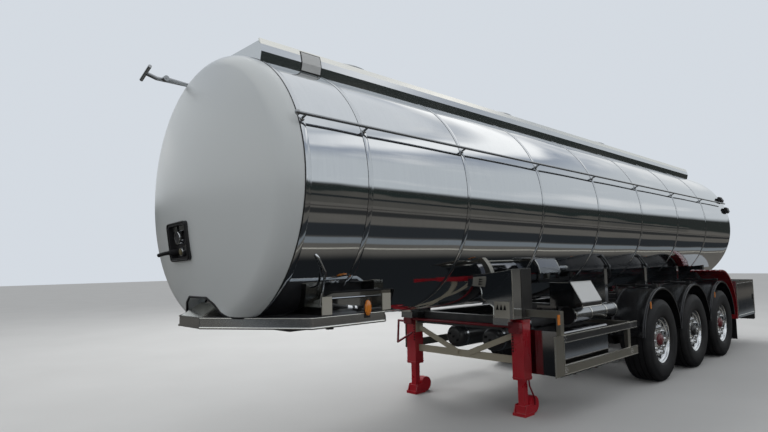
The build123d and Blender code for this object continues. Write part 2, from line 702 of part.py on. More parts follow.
# Suspension hangers under the rails and air springs on the arms
with BuildPart() as hangers:
    for x in (x + arm_eye_x for x in axle_xs):
        for side in (-1, 1):
            for off in (-52, 52):
                block(x - 80, x + 80, side * rail_half + off - 5, side * rail_half + off + 5,
                      wheel_z + 130, z_at(rail_bottom + seat_gap))
            rod((x, side * rail_half - 57, arm_eye_z), (x, side * rail_half + 57, arm_eye_z), arm_pin)
            block(x - 80, x + 80, side * rail_half - 57, side * rail_half + 57,
                  z_at(rail_bottom + 12), z_at(rail_bottom + seat_gap))
save(hangers.part, "hangers")

with BuildPart() as air_springs:
    for x in (x - 390 for x in axle_xs):
        for side in (-1, 1):
            rod((x, side * rail_half, wheel_z + 60 + seat_gap),
                (x, side * rail_half, z_at(rail_bottom) - seat_gap), 130)
save(air_springs.part, "air_springs")

# Wheels: tyre with rounded shoulders, and rim with disc and hub
tyre_mid_y = half_width - tyre_width / 2
tyre_half = tyre_width / 2
seat_half = 150.0
for number, x in enumerate(axle_xs, 1):
    for side, name in ((1, "left"), (-1, "right")):
        y = side * tyre_mid_y
        spin = Axis((x, 0, wheel_z), (0, 1, 0))
        with BuildPart() as tyre:
            with BuildSketch(Plane.YZ.offset(x)):
                with BuildLine():
                    Polyline((y - seat_half, wheel_z + rim_radius - 8), (y - tyre_half, wheel_z + rim_radius + 90),
                             (y - tyre_half, wheel_z + tyre_radius - 90), (y - tyre_half + 30, wheel_z + tyre_radius - 12),
                             (y - tyre_half + 60, wheel_z + tyre_radius), (y + tyre_half - 60, wheel_z + tyre_radius),
                             (y + tyre_half - 30, wheel_z + tyre_radius - 12), (y + tyre_half, wheel_z + tyre_radius - 90),
                             (y + tyre_half, wheel_z + rim_radius + 90), (y + seat_half, wheel_z + rim_radius - 8),
                             close=True)
                make_face()
            revolve(axis=spin)
        save(tyre.part, f"tyre_{name}_{number}")
        with BuildPart() as rim:
            disc_y = side * disc_outer_y
            with BuildSketch(Plane.YZ.offset(x)):
                with BuildLine():
                    low = wheel_z + rim_radius - 8 - seat_gap
                    Polyline((y - seat_half, low), (y + seat_half, low), (y + seat_half, low - rim_wall),
                             (y - seat_half, low - rim_wall), close=True)
                make_face()
                with BuildLine():
                    Polyline((disc_y, low - 6), (disc_y - side * rim_wall, low - 6),
                             (disc_y - side * (rim_wall + disc_set), wheel_z + 150),
                             (disc_y - side * (rim_wall + disc_set), wheel_z),
                             (disc_y - side * disc_set, wheel_z), (disc_y - side * disc_set, wheel_z + 150),
                             close=True)
                make_face()
            revolve(axis=spin)
            rod((x, disc_y - side * disc_set, wheel_z), (x, disc_y + side * 40, wheel_z), hub_radius)
            with BuildSketch(Plane.XZ.offset(-disc_y - 100)):
                with Locations((x, wheel_z)):
                    with PolarLocations(205, 10):
                        Circle(26)
            extrude(amount=200, mode=Mode.SUBTRACT)
        save(rim.part, f"rim_{name}_{number}")

# Mudguards: ribbed half rounds with a lip at both edges
guard_z = wheel_z + 30
guard_inner_y = half_width - 430
guard_cut = 60.0
with BuildPart() as mudguards:
    for x in axle_xs:
        for side in (-1, 1):
            with BuildSketch(Plane.YZ.offset(x)):
                with BuildLine():
                    Polyline(*[(side * y, z) for y, z in ribbed(guard_inner_y, half_width, guard_z + guard_radius)],
                             close=True)
                make_face()
            revolve(axis=Axis((x, 0, guard_z), (0, 1, 0)))
        block(x - axle_spacing / 2, x + axle_spacing / 2, -half_width, half_width,
              guard_z - 2 * guard_radius, guard_z + guard_cut, mode=Mode.SUBTRACT)
save(mudguards.part, "mudguards")

# Mudguard carriers: a cross tube on each guard's crest, from a plate on the chassis rail
carrier_tube = 17.0
carrier_z = guard_z + guard_radius + guard_wall + rib_height + carrier_tube + seat_gap
with BuildPart() as guard_carriers:
    for x in axle_xs:
        for side in (-1, 1):
            rod((x, side * rail_face_y, carrier_z), (x, side * (half_width - 60), carrier_z), carrier_tube)
            block(x - 30, x + 30, side * rail_face_y, side * (rail_face_y + 12), z_at(rail_bottom),
                  carrier_z + carrier_tube)
save(guard_carriers.part, "guard_carriers")

# Rear wings: ribbed quarter rounds above and behind the last wheels, each on a strut
wing_back = last_axle_back + 60
wing_drop = rail_bottom + 225
wing_radius = 752.0
wing_inner_y = half_width - 440
wing_lead = 120.0
wing_tail = 100.0
wing_strut_turn = 0.49
with BuildPart() as rear_wings:
    wing_x = x_at(wing_back)
    for side in (-1, 1):
        with BuildSketch(Plane.YZ.offset(wing_x)):
            with BuildLine():
                Polyline(*[(side * y, z) for y, z in ribbed(wing_inner_y, half_width, z_at(wing_drop) + wing_radius)],
                         close=True)
            make_face()
        revolve(axis=Axis((wing_x, 0, z_at(wing_drop)), (0, 1, 0)))
    block(wing_x - 2 * wing_radius, wing_x + 2 * wing_radius, -half_width, half_width,
          z_at(wing_drop) - 2 * wing_radius, z_at(wing_drop) - wing_tail, mode=Mode.SUBTRACT)
    block(wing_x + wing_lead, wing_x + 2 * wing_radius, -half_width, half_width,
          z_at(wing_drop) - 2 * wing_radius, z_at(wing_drop) + 2 * wing_radius, mode=Mode.SUBTRACT)
    for side in (-1, 1):
        reach = wing_radius + guard_wall + rib_height + carrier_tube - 2
        strut = (wing_x - reach * cos(wing_strut_turn), z_at(wing_drop) + reach * sin(wing_strut_turn))
        rod((strut[0], side * rail_face_y, strut[1]), (strut[0], side * (half_width - 80), strut[1]), carrier_tube)
save(rear_wings.part, "rear_wings")

# Rear cabinets with side doors on front knuckles
cab_behind = 855.0
cab_front = x_at(last_axle_back + cab_behind)
cab_rear = rear_x + 110
cab_in = half_width - 490
cab_out = half_width - 10
cab_top = rail_top - 180
cab_bottom = rail_bottom + 315
cab_wall = 12.0
door_thick = 21.0
door_knuckle = 8.0
knuckle_half = 45.0
with BuildPart() as rear_cabinets:
    for side in (-1, 1):
        block(cab_rear, cab_front, side * cab_in, side * (cab_out - door_thick - seat_gap),
              z_at(cab_bottom), z_at(cab_top))
        block(cab_rear + cab_wall, cab_front - cab_wall, side * (cab_in + cab_wall), side * cab_out,
              z_at(cab_bottom - cab_wall), z_at(cab_top + cab_wall), mode=Mode.SUBTRACT)
        for x in (cab_front - 200, x_at(rail_rear_back) + 100):
            block(x - 30, x + 30, side * rail_face_y, side * (cab_in + 4), z_at(rail_bottom), z_at(rail_top))
save(rear_cabinets.part, "rear_cabinets")
for side, name in ((1, "left"), (-1, "right")):
    with BuildPart() as door:
        block(cab_rear, cab_front, side * (cab_out - door_thick), side * cab_out, z_at(cab_bottom), z_at(cab_top))
        for drop in (cab_top + 2 * knuckle_half, cab_bottom - 2 * knuckle_half):
            rod((cab_front, side * cab_out, z_at(drop) - knuckle_half),
                (cab_front, side * cab_out, z_at(drop) + knuckle_half), door_knuckle)
    save(door.part, f"rear_cabinet_door_{name}")

# Mud flaps behind the last wheels
flap_bottom = 180.0
with BuildPart() as mud_flaps:
    for side in (-1, 1):
        block(cab_front + seat_gap, cab_front + 10, side * (cab_in + 40), side * (cab_out - 30),
              flap_bottom, z_at(cab_top + 150))
save(mud_flaps.part, "mud_flaps")

# Rear underrun bar on two uprights, and lamp beams beside them
bumper_low = 430.0
bumper_high = 550.0
bumper_depth = 90.0
upright_half = 30.0
upright_rear = rear_x + 20
upright_front = rear_x + 80
with BuildPart() as rear_bumper:
    block(rear_x, rear_x + bumper_depth, 50 - half_width, half_width - 50, bumper_low, bumper_high)
    for side in (-1, 1):
        block(upright_rear, upright_front, side * rail_half - upright_half, side * rail_half + upright_half,
              bumper_high + seat_gap, z_at(rail_top))
        block(upright_rear, x_at(rail_rear_back) - seat_gap, side * rail_half - upright_half,
              side * rail_half + upright_half, z_at(rail_bottom), z_at(rail_top))
save(rear_bumper.part, "rear_bumper")

beam_drops = (rail_bottom - 15, rail_bottom + 175)
with BuildPart() as rear_beam:
    for side in (-1, 1):
        block(upright_rear, upright_front, side * (rail_half + upright_half + seat_gap), side * (half_width - 40),
              z_at(beam_drops[1]), z_at(beam_drops[0]))
save(rear_beam.part, "rear_beam")

# Rear ladder from the underrun bar up behind the tank, and forward to the coffer
ladder_x = rear_x + bumper_depth / 2
ladder_y = -280.0
ladder_half = 170.0
ladder_tube = 17.0
ladder_top = z_at(-tank_radius - 2 * ladder_tube)
rung_pitch = 300.0
rung_radius = 12.0
rung_count = int((ladder_top - bumper_high) / rung_pitch)
with BuildPart() as rear_ladder:
    for y in (ladder_y - ladder_half, ladder_y + ladder_half):
        rod((ladder_x, y, bumper_high + seat_gap), (ladder_x, y, ladder_top + ladder_tube), ladder_tube)
        rod((ladder_x + ladder_tube + seat_gap, y, ladder_top), (coffer_rear - seat_gap, y, ladder_top), ladder_tube)
    rung_half = ladder_half - ladder_tube - seat_gap
    for z in (bumper_high + number * rung_pitch for number in range(1, rung_count + 1)):
        rod((ladder_x, ladder_y - rung_half, z), (ladder_x, ladder_y + rung_half, z), rung_radius)
save(rear_ladder.part, "rear_ladder")

# Side guards: two rounded rails a side on posts, with a marker plate ahead of them
guard_y = half_width - 10
guard_rear = axle_back - cab_behind
guard_thick = 26.0
guard_plate = 180.0
guard_rails = ((rail_bottom + 45, 80.0), (rail_bottom + 345, 100.0))
post_width = 70.0
post_depth = 44.0
post_y = guard_y - guard_thick - seat_gap
saddle_carrier = (rail_top - 85, rail_top - 15)
rail_carrier = (rail_bottom + seat_gap, rail_bottom + 60)
right_guard_front = 3270.0
guard_starts = ((1, leg_back - 184), (-1, right_guard_front))
rear_post_back = guard_rear - 170
guard_posts = ((1, leg_back + 26, leg_saddle_out + seat_gap, saddle_carrier),
               (1, rear_post_back, rail_inner_y, rail_carrier),
               (-1, right_guard_front + guard_plate + 30, rail_inner_y, rail_carrier),
               (-1, rear_post_back, rail_inner_y, rail_carrier))
with BuildPart() as side_guards:
    for side, start in guard_starts:
        rail_start = start + guard_plate + seat_gap
        block(x_at(rail_start - seat_gap), x_at(start), side * (guard_y - 5), side * guard_y,
              z_at(guard_rails[1][0] + guard_rails[1][1] / 2), z_at(guard_rails[0][0] - guard_rails[0][1] / 2))
        for drop, height in guard_rails:
            with BuildSketch(Plane.YZ.offset(x_at(guard_rear))):
                with Locations((side * (guard_y - guard_thick / 2), z_at(drop))):
                    RectangleRounded(guard_thick, height, guard_thick / 4)
            extrude(amount=guard_rear - rail_start)
    for side, back, inner_y, (high, low) in guard_posts:
        block(x_at(back) - post_width / 2, x_at(back) + post_width / 2, side * (post_y - post_depth), side * post_y,
              z_at(guard_rails[1][0] + guard_rails[1][1] / 2), z_at(high))
        block(x_at(back) - post_width / 2, x_at(back) + post_width / 2, side * inner_y,
              side * (post_y - post_depth - seat_gap), z_at(low), z_at(high))
save(side_guards.part, "side_guards")

# Valve box with a sloping lid, on two brackets from the left rail's top
hose_clearance = 18.0
bracket_half_x = 20.0
valve_front_back = 3510.0
valve_length = 450.0
valve_front = x_at(valve_front_back)
valve_rear = valve_front - valve_length
valve_in = half_width - 470
valve_out = guard_y - 80
valve_knee = valve_out - 125
valve_bottom = rail_top - 85
valve_top = valve_bottom - 260
valve_edge = valve_bottom - 45
valve_wall = 8.0
valve_pipe = 50.0
valve_pipe_top = valve_bottom - 100
valve_foot_y = rail_half
foot_width = 40.0
valve_foot_drop = valve_bottom + 30
valve_side = ((valve_in, valve_bottom), (valve_out, valve_bottom), (valve_out, valve_edge),
              (valve_knee, valve_top), (valve_in, valve_top))
valve_hollow = ((valve_in + valve_wall, valve_bottom - valve_wall), (valve_out - valve_wall, valve_bottom - valve_wall),
                (valve_out - valve_wall, valve_top), (valve_knee - valve_wall, valve_top + valve_wall),
                (valve_in + valve_wall, valve_top + valve_wall))
with BuildPart() as valve_box:
    for line, inset, mode in ((valve_side, 0, Mode.ADD), (valve_hollow, valve_wall, Mode.SUBTRACT)):
        with BuildSketch(Plane.YZ.offset(valve_rear + inset)):
            with BuildLine():
                Polyline(*[(y, z_at(drop)) for y, drop in line], close=True)
            make_face()
        extrude(amount=valve_front - valve_rear - 2 * inset, mode=mode)
    pipe_x, pipe_y = (valve_front + valve_rear) / 2, valve_in + 120
    rod((pipe_x, pipe_y, z_at(valve_bottom - 1)), (pipe_x, pipe_y, z_at(valve_pipe_top)), valve_pipe)
    for x in (valve_rear + 2 * bracket_half_x, valve_front - 2 * bracket_half_x):
        block(x - bracket_half_x, x + bracket_half_x, valve_foot_y, valve_foot_y + foot_width,
              z_at(rail_top - seat_gap), z_at(valve_foot_drop))
        block(x - bracket_half_x, x + bracket_half_x, valve_foot_y, valve_in + 60,
              z_at(valve_foot_drop), z_at(valve_bottom))
save(valve_box.part, "valve_box")

# Valve box lid: a plate along the slope with a hinge barrel on its top edge
slope = Vector(0, valve_out - valve_knee, valve_top - valve_edge)
outward = Vector(0, -slope.Z, slope.Y).normalized()
lid_barrel = 6.0
lid_side = 10.0
lid_plane = Plane(origin=Vector((valve_front + valve_rear) / 2, valve_knee, z_at(valve_top)) + outward * seat_gap,
                  x_dir=(1, 0, 0), z_dir=outward)
lid_half = (valve_front - valve_rear) / 2 + lid_side
with BuildPart() as valve_lid:
    with BuildSketch(lid_plane):
        with Locations((0, (slope.length - lid_barrel) / 2)):
            Rectangle(2 * lid_half, slope.length - lid_barrel)
    extrude(amount=valve_wall)
    rod(lid_plane.from_local_coords((-lid_half, 0, lid_barrel)),
        lid_plane.from_local_coords((lid_half, 0, lid_barrel)), lid_barrel)
save(valve_lid.part, "valve_lid")

# Hose tube under the valve box, on brackets from the left rail, with two hinge ears and a pin
hose_y = half_width - 330
hose_radius = 92.0
hose_wall = 5.0
hose_drop = valve_bottom + hose_clearance + hose_radius
hose_front = valve_front - 110
hose_rear = x_at(guard_rear + 20)
cap_radius = hose_radius + 4
cap_thick = 14.0
cap_barrel = 8.0
cap_pin = 4.0
cap_eye = 26.0
cap_ear = 6.0
cap_x = hose_front + cap_thick / 2
cap_y = hose_y + cap_radius + cap_barrel
ear_near_y = cap_y - cap_barrel + 1
with BuildPart() as hose_tube:
    rod((hose_rear, hose_y, z_at(hose_drop)), (hose_front, hose_y, z_at(hose_drop)), hose_radius)
    rod((hose_rear + hose_wall, hose_y, z_at(hose_drop)), (hose_front + 1, hose_y, z_at(hose_drop)),
        hose_radius - hose_wall, mode=Mode.SUBTRACT)
    for x in (hose_rear + 140, hose_front - 140):
        block(x - 25, x + 25, rail_face_y, hose_y - hose_radius + 2, z_at(hose_drop + 20), z_at(hose_drop - 12))
    for low in (cap_eye + 1, -cap_eye - 1 - cap_ear):
        z = z_at(hose_drop) + low
        block(hose_front - 40, hose_front - 1, hose_y + hose_radius - 10, ear_near_y + cap_thick, z, z + cap_ear)
        block(hose_front - 1, hose_front + cap_thick + 1, ear_near_y, ear_near_y + cap_thick, z, z + cap_ear)
    rod((cap_x, cap_y, z_at(hose_drop) - cap_eye - cap_ear), (cap_x, cap_y, z_at(hose_drop) + cap_eye + cap_ear),
        cap_pin)
save(hose_tube.part, "hose_tube")

# Hose tube cap: a disc with an eye on its outer side
with BuildPart() as hose_cap:
    rod((hose_front + seat_gap, hose_y, z_at(hose_drop)), (hose_front + cap_thick, hose_y, z_at(hose_drop)), cap_radius)
    block(hose_front + seat_gap + 1, hose_front + cap_thick - 1, hose_y + cap_radius - 20, cap_y,
          z_at(hose_drop) - 20, z_at(hose_drop) + 20)
    rod((cap_x, cap_y, z_at(hose_drop) - cap_eye), (cap_x, cap_y, z_at(hose_drop) + cap_eye), cap_barrel)
    rod((cap_x, cap_y, z_at(hose_drop) - 2 * cap_eye), (cap_x, cap_y, z_at(hose_drop) + 2 * cap_eye),
        cap_pin + pin_clearance, mode=Mode.SUBTRACT)
save(hose_cap.part, "hose_cap")

# Tool box under the hose tube, hung from the left rail's web on two arms
box_length = 1050.0
box_front = x_at(leg_back + 116)
box_rear = box_front - box_length
box_in = half_width - 490
box_out = guard_y - 90
box_top = hose_drop + hose_radius + hose_clearance
box_bottom = box_top + 450
arm_half_x = 30.0
arm_plate = 10.0
arm_drops = (box_top + 80, box_top + 120)
with BuildPart() as tool_box:
    block(box_rear, box_front, box_in, box_out, z_at(box_bottom), z_at(box_top))
    fillet(tool_box.edges().filter_by(Axis.X), box_corner)
    for x in (box_rear + 230, box_front - 230):
        block(x - arm_half_x, x + arm_half_x, rail_face_y, rail_face_y + arm_plate, z_at(arm_drops[1]), z_at(rail_top))
        block(x - arm_half_x, x + arm_half_x, rail_face_y, box_in - seat_gap, z_at(arm_drops[1]), z_at(arm_drops[0]))
save(tool_box.part, "tool_box")

# Air tanks with dished ends, hung under two crossbars between the rails
air_radius = 130.0
air_y = 260.0
air_backs = (3080.0, 3880.0)
air_bar_backs = (3200.0, 3760.0)
air_bar_drop = rail_bottom + 20
air_drop = air_bar_drop + seat_gap + air_radius
with BuildPart() as air_tanks:
    for y in (-air_y, air_y):
        rod((x_at(air_backs[1]), y, z_at(air_drop)), (x_at(air_backs[0]), y, z_at(air_drop)), air_radius)
    fillet(air_tanks.edges().filter_by(GeomType.CIRCLE), air_end)
    for back in air_bar_backs:
        block(x_at(back) - 20, x_at(back) + 20, -rail_inner_y, rail_inner_y, z_at(air_bar_drop),
              z_at(rail_bottom - rail_web))
save(air_tanks.part, "air_tanks")
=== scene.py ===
"""Looks of a three-axle stainless tank semi-trailer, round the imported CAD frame.

Metres, +X forward, +Y to the trailer's left, +Z up. Rigid pieces ride on the frame's bodies.
"""

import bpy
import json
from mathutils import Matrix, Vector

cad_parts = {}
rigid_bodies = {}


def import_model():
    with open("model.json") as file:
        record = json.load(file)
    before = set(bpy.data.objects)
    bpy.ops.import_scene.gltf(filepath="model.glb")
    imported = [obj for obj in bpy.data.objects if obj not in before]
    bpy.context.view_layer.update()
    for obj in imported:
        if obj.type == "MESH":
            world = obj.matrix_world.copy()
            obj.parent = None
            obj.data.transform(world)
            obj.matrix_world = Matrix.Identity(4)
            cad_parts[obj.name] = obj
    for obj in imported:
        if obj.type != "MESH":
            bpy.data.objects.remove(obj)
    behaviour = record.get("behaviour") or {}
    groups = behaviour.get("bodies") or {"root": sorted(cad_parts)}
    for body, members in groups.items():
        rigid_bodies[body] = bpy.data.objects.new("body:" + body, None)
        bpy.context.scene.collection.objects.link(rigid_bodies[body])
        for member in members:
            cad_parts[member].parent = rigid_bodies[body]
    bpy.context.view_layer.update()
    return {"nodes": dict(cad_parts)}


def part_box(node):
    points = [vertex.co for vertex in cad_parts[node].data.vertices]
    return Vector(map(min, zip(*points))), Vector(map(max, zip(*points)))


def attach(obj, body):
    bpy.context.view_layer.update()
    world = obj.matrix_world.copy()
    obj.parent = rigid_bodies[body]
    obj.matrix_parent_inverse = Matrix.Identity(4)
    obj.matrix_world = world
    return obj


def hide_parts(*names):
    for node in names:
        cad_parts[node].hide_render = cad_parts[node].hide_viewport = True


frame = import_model()

import json
import logging
from dataclasses import dataclass
from enum import Enum
from math import acos, asin, atan2, cos, pi, radians, sin, sqrt, tan, tau
from typing import Iterable, Sequence

import bmesh
import bpy
from mathutils import Matrix, Vector

log = logging.getLogger("tank_trailer")
Flat = tuple[float, float]
Point = tuple[float, float, float]
Line = tuple[Flat, ...]
Path = tuple[Point, ...]
Colour = tuple[float, float, float]

# Driving sizes: the first ring band, the bands behind it, and the tank's axis and radius
BAND_X = 4.925
BAND_BACKS = (0.0, 0.56, 1.73, 2.98, 4.25, 5.54, 6.91, 8.24)
TANK_AXIS_Z = 2.16
TANK_RADIUS = 1.055

AXIS = (0.0, 0.0, TANK_AXIS_Z)
FORWARD, LEFTWARD, UPWARD = (1.0, 0.0, 0.0), (0.0, 1.0, 0.0), (0.0, 0.0, 1.0)
SIDES = {"left": 1, "right": -1}
AXLES = (1, 2, 3)

# Places on the trailer


def back(distance: float) -> float:
    """X of a station given by its distance behind the first ring band."""
    return BAND_X - distance


def up(rise: float) -> float:
    """Z of a level given by its height over the tank's axis."""
    return TANK_AXIS_Z + rise


def at(distance: float, y: float, rise: float) -> Point:
    """Point given by its distance behind the first band, its side place and its height over the axis."""
    return back(distance), y, up(rise)


def placed(points: Iterable[Point], side: int = 1) -> list[Point]:
    """Points given like those of at(), on the left or mirrored to the right."""
    return [at(distance, side * y, rise) for distance, y, rise in points]


def lowest(node: str, axis: int) -> float:
    """Lowest coordinate of a CAD node along an axis, to the millimetre."""
    return round(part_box(node)[0][axis], 3)


def highest(node: str, axis: int) -> float:
    """Highest coordinate of a CAD node along an axis, to the millimetre."""
    return round(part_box(node)[1][axis], 3)


def centre_of(node: str) -> Point:
    """Middle of a CAD node's box, to the millimetre."""
    return tuple(round((low + high) / 2, 3) for low, high in zip(*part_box(node)))


def axle_x(number: int) -> float:
    """X of an axle, counted from the front."""
    return centre_of(f"tyre_left_{number}")[0]


# Shader maths


class Wire:
    """A shader socket that does arithmetic: each operator adds its Math node."""

    def __init__(self, shade: "Shade", socket: bpy.types.NodeSocket) -> None:
        """Wrap one socket of a material in the making."""
        self.shade = shade
        self.socket = socket

    def _math(self, operation: str, *values: object) -> "Wire":
        """Add a Math node of that operation on the values."""
        return self.shade.node("ShaderNodeMath", {"operation": operation}, dict(enumerate(values)))

    def __add__(self, other: object) -> "Wire":
        """Sum."""
        return self._math("ADD", self, other)

    __radd__ = __add__

    def __sub__(self, other: object) -> "Wire":
        """Difference."""
        return self._math("SUBTRACT", self, other)

    def __rsub__(self, other: object) -> "Wire":
        """Difference from the left."""
        return self._math("SUBTRACT", other, self)

    def __mul__(self, other: object) -> "Wire":
        """Product."""
        return self._math("MULTIPLY", self, other)

    __rmul__ = __mul__

    def __gt__(self, other: object) -> "Wire":
        """One where this is greater."""
        return self._math("GREATER_THAN", self, other)

    def __lt__(self, other: object) -> "Wire":
        """One where this is less."""
        return self._math("LESS_THAN", self, other)

    def size(self) -> "Wire":
        """Without its sign."""
        return self._math("ABSOLUTE", self)

    def clamp(self) -> "Wire":
        """Keep within 0 and 1."""
        return self.shade.node("ShaderNodeClamp", {}, {"Value": self})

    def span(self, low: float, high: float) -> "Wire":
        """Rise smoothly from 0 at low to 1 at high."""
        return self.shade.node("ShaderNodeMapRange", {"interpolation_type": "SMOOTHSTEP"},
                               {"Value": self, "From Min": low, "From Max": high})


class Shade:
    """A material's node tree, grown one node at a time."""

    def __init__(self, name: str, tree: bpy.types.NodeTree | None = None) -> None:
        """Start an empty material, or empty the tree that is given.

        Args:
            name: The new material's name.
            tree: A tree to use in place of a new material's.
        """
        if tree is None:
            self.material = bpy.data.materials.new(name)
            self.material.use_nodes = True
            tree = self.material.node_tree
        self.tree = tree
        self.tree.nodes.clear()

    def node(self, kind: str, settings: dict, inputs: dict, output: int | str = 0) -> Wire:
        """Add a node.

        Args:
            kind: The node's type name.
            settings: Properties that are set before its sockets are used.
            inputs: Value or wire for each socket, by name or index.
            output: Which output the returned wire is.

        Returns:
            The wire of that output.
        """
        made = self.tree.nodes.new(kind)
        for key, value in settings.items():
            setattr(made, key, value)
        for key, value in inputs.items():
            if isinstance(value, Wire):
                self.tree.links.new(value.socket, made.inputs[key])
            else:
                made.inputs[key].default_value = value
        return Wire(self, made.outputs[output] if len(made.outputs) else None)

    def place(self, stretch: Point = (1.0, 1.0, 1.0), shift: Point = (0.0, 0.0, 0.0)) -> Wire:
        """Object coordinates, shifted and then stretched."""
        raw = self.node("ShaderNodeTexCoord", {}, {}, "Object")
        return self.node("ShaderNodeMapping", {}, {"Vector": raw, "Location": shift, "Scale": stretch})

    def axes(self) -> tuple[Wire, Wire, Wire]:
        """Split the object coordinates.

        Returns:
            The wires of X, Y and Z.
        """
        raw = self.node("ShaderNodeTexCoord", {}, {}, "Object")
        split = self.node("ShaderNodeSeparateXYZ", {}, {"Vector": raw})
        outs = split.socket.node.outputs
        return Wire(self, outs[0]), Wire(self, outs[1]), Wire(self, outs[2])

    def noise(self, scale: float, stretch: Point = (1.0, 1.0, 1.0), detail: float = 3.0,
              shift: Point = (0.0, 0.0, 0.0)) -> Wire:
        """Noise from 0 to 1, of that scale per metre after the stretch."""
        return self.node("ShaderNodeTexNoise", {},
                         {"Vector": self.place(stretch, shift), "Scale": scale, "Detail": detail})

    def mix(self, mask: Wire | float, low: object, high: object) -> Wire:
        """Blend two colours by a mask."""
        low, high = ((*value, 1.0) if isinstance(value, tuple) else value for value in (low, high))
        return self.node("ShaderNodeMix", {"data_type": "RGBA"}, {0: mask, 6: low, 7: high}, 2)

    def bump(self, height: Wire, strength: float, distance: float) -> Wire:
        """Normal from a height."""
        return self.node("ShaderNodeBump", {}, {"Height": height, "Strength": strength, "Distance": distance})

    def close(self, inputs: dict) -> bpy.types.Material:
        """Feed the principled shader and end the material."""
        shader = self.node("ShaderNodeBsdfPrincipled", {}, inputs)
        self.node("ShaderNodeOutputMaterial", {}, {"Surface": shader})
        return self.material


# Finishes


@dataclass(frozen=True)
class Steel:
    """Stainless sheet or bar, polished or brushed."""

    name: str
    tint: Colour = (0.62, 0.64, 0.66)
    rough: float = 0.1
    spread: float = 0.04
    grain: Point = (8.0, 1.2, 1.2)
    wave: float = 0.0
    grime: float = 0.1

    def make(self) -> bpy.types.Material:
        """Grain along one way, soft stains, and a slow wave in the sheet."""
        s = Shade(self.name)
        grain = s.noise(5.0, self.grain, 3.0)
        stain = s.noise(1.9, (1.0, 1.0, 0.45), 4.0, (1.3, 0.4, 2.2))
        film = s.noise(14.0, (1.0, 1.0, 0.3), 3.0)
        dirt = stain.span(0.45, 0.8) * film.span(0.3, 0.75) * self.grime
        colour = s.mix(grain, tuple(c * 0.94 for c in self.tint), self.tint)
        colour = s.mix(dirt, colour, tuple(c * 0.42 for c in self.tint))
        rough = (grain * self.spread + dirt * 0.4 + (self.rough - 0.4 * self.spread)).clamp()
        inputs = {"Base Color": colour, "Metallic": 1.0, "Roughness": rough}
        if self.wave:
            height = s.noise(0.8, (1.0, 1.0, 1.5), 1.0) + s.noise(2.3, (1.3, 0.6, 0.6), 1.0) * 0.22
            inputs["Normal"] = s.bump(height, 1.0, self.wave)
        return s.close(inputs)


@dataclass(frozen=True)
class Paint:
    """Painted metal with dust, runs and chipped spots."""

    name: str
    colour: Colour
    under: Colour = (0.1, 0.06, 0.05)
    rough: float = 0.34
    coat: float = 0.25
    dust: float = 0.18
    chips: float = 0.05

    def make(self) -> bpy.types.Material:
        """Paint that fades a little, chips at random and holds dust in patches."""
        s = Shade(self.name)
        fade = s.noise(2.2, detail=4.0)
        speck = s.noise(30.0, detail=5.0, shift=(3.1, 1.7, 0.4))
        patch = s.noise(5.0, detail=3.0, shift=(7.0, 2.0, 1.0))
        chip = (speck.span(0.68, 0.71) * patch.span(0.45, 0.65) * self.chips * 12.0).clamp()
        dust = s.noise(7.0, (1.0, 1.0, 0.5), 4.0).span(0.35, 0.85) * self.dust
        light = tuple(min(1.0, c * 1.1 + 0.004) for c in self.colour)
        deep = tuple(c * 0.85 for c in self.colour)
        base = s.mix(fade, deep, light)
        base = s.mix(dust, base, (0.28, 0.255, 0.23))
        base = s.mix(chip, base, self.under)
        rough = (dust * 0.5 + chip * 0.25 + fade * 0.08 + (self.rough - 0.04)).clamp()
        bump = s.bump(s.noise(90.0, detail=2.0) - chip * 0.6, 0.2, 0.0005)
        return s.close({"Base Color": base, "Roughness": rough, "Coat Weight": self.coat,
                        "Coat Roughness": 0.12, "Normal": bump})


@dataclass(frozen=True)
class Moulding:
    """Gel-coated moulding: satin, hardly stained, grimy towards its lower edge."""

    name: str
    colour: Colour
    low: float
    high: float

    def make(self) -> bpy.types.Material:
        """Even colour with a slow cloud and a slightly darker foot."""
        s = Shade(self.name)
        _, _, z = s.axes()
        cloud = s.noise(1.1, detail=3.0)
        speck = s.noise(26.0, detail=4.0).span(0.66, 0.78)
        foot = 1 - z.span(self.low, self.high)
        grime = (foot * cloud.span(0.3, 0.7) * 0.35 + speck * 0.06).clamp()
        base = s.mix(cloud, tuple(c * 0.96 for c in self.colour), self.colour)
        base = s.mix(grime, base, tuple(c * 0.62 for c in self.colour))
        rough = (cloud * 0.08 + grime * 0.3 + 0.26).clamp()
        return s.close({"Base Color": base, "Roughness": rough, "Coat Weight": 0.35, "Coat Roughness": 0.2,
                        "Normal": s.bump(s.noise(2.4, detail=1.0), 0.35, 0.003)})


@dataclass(frozen=True)
class Rubber:
    """Rubber or moulded plastic with road dust."""

    name: str
    colour: Colour = (0.014, 0.014, 0.015)
    dust: float = 0.12
    rough: float = 0.6
    tone: Colour = (0.15, 0.14, 0.13)
    pebble: float = 160.0
    gloss: float = 0.3

    def make(self) -> bpy.types.Material:
        """Dark body, dust in patches, fine pebbled skin."""
        s = Shade(self.name)
        patch = s.noise(6.0, detail=4.0)
        fine = s.noise(self.pebble, detail=2.0)
        dust = patch.span(0.4, 0.85) * self.dust
        base = s.mix(dust, s.mix(fine, self.colour, tuple(c * 1.4 for c in self.colour)), self.tone)
        rough = (dust * 0.6 + fine * 0.08 + (self.rough - 0.04)).clamp()
        return s.close({"Base Color": base, "Roughness": rough, "Specular IOR Level": self.gloss,
                        "Normal": s.bump(fine, 0.25, 0.0006)})


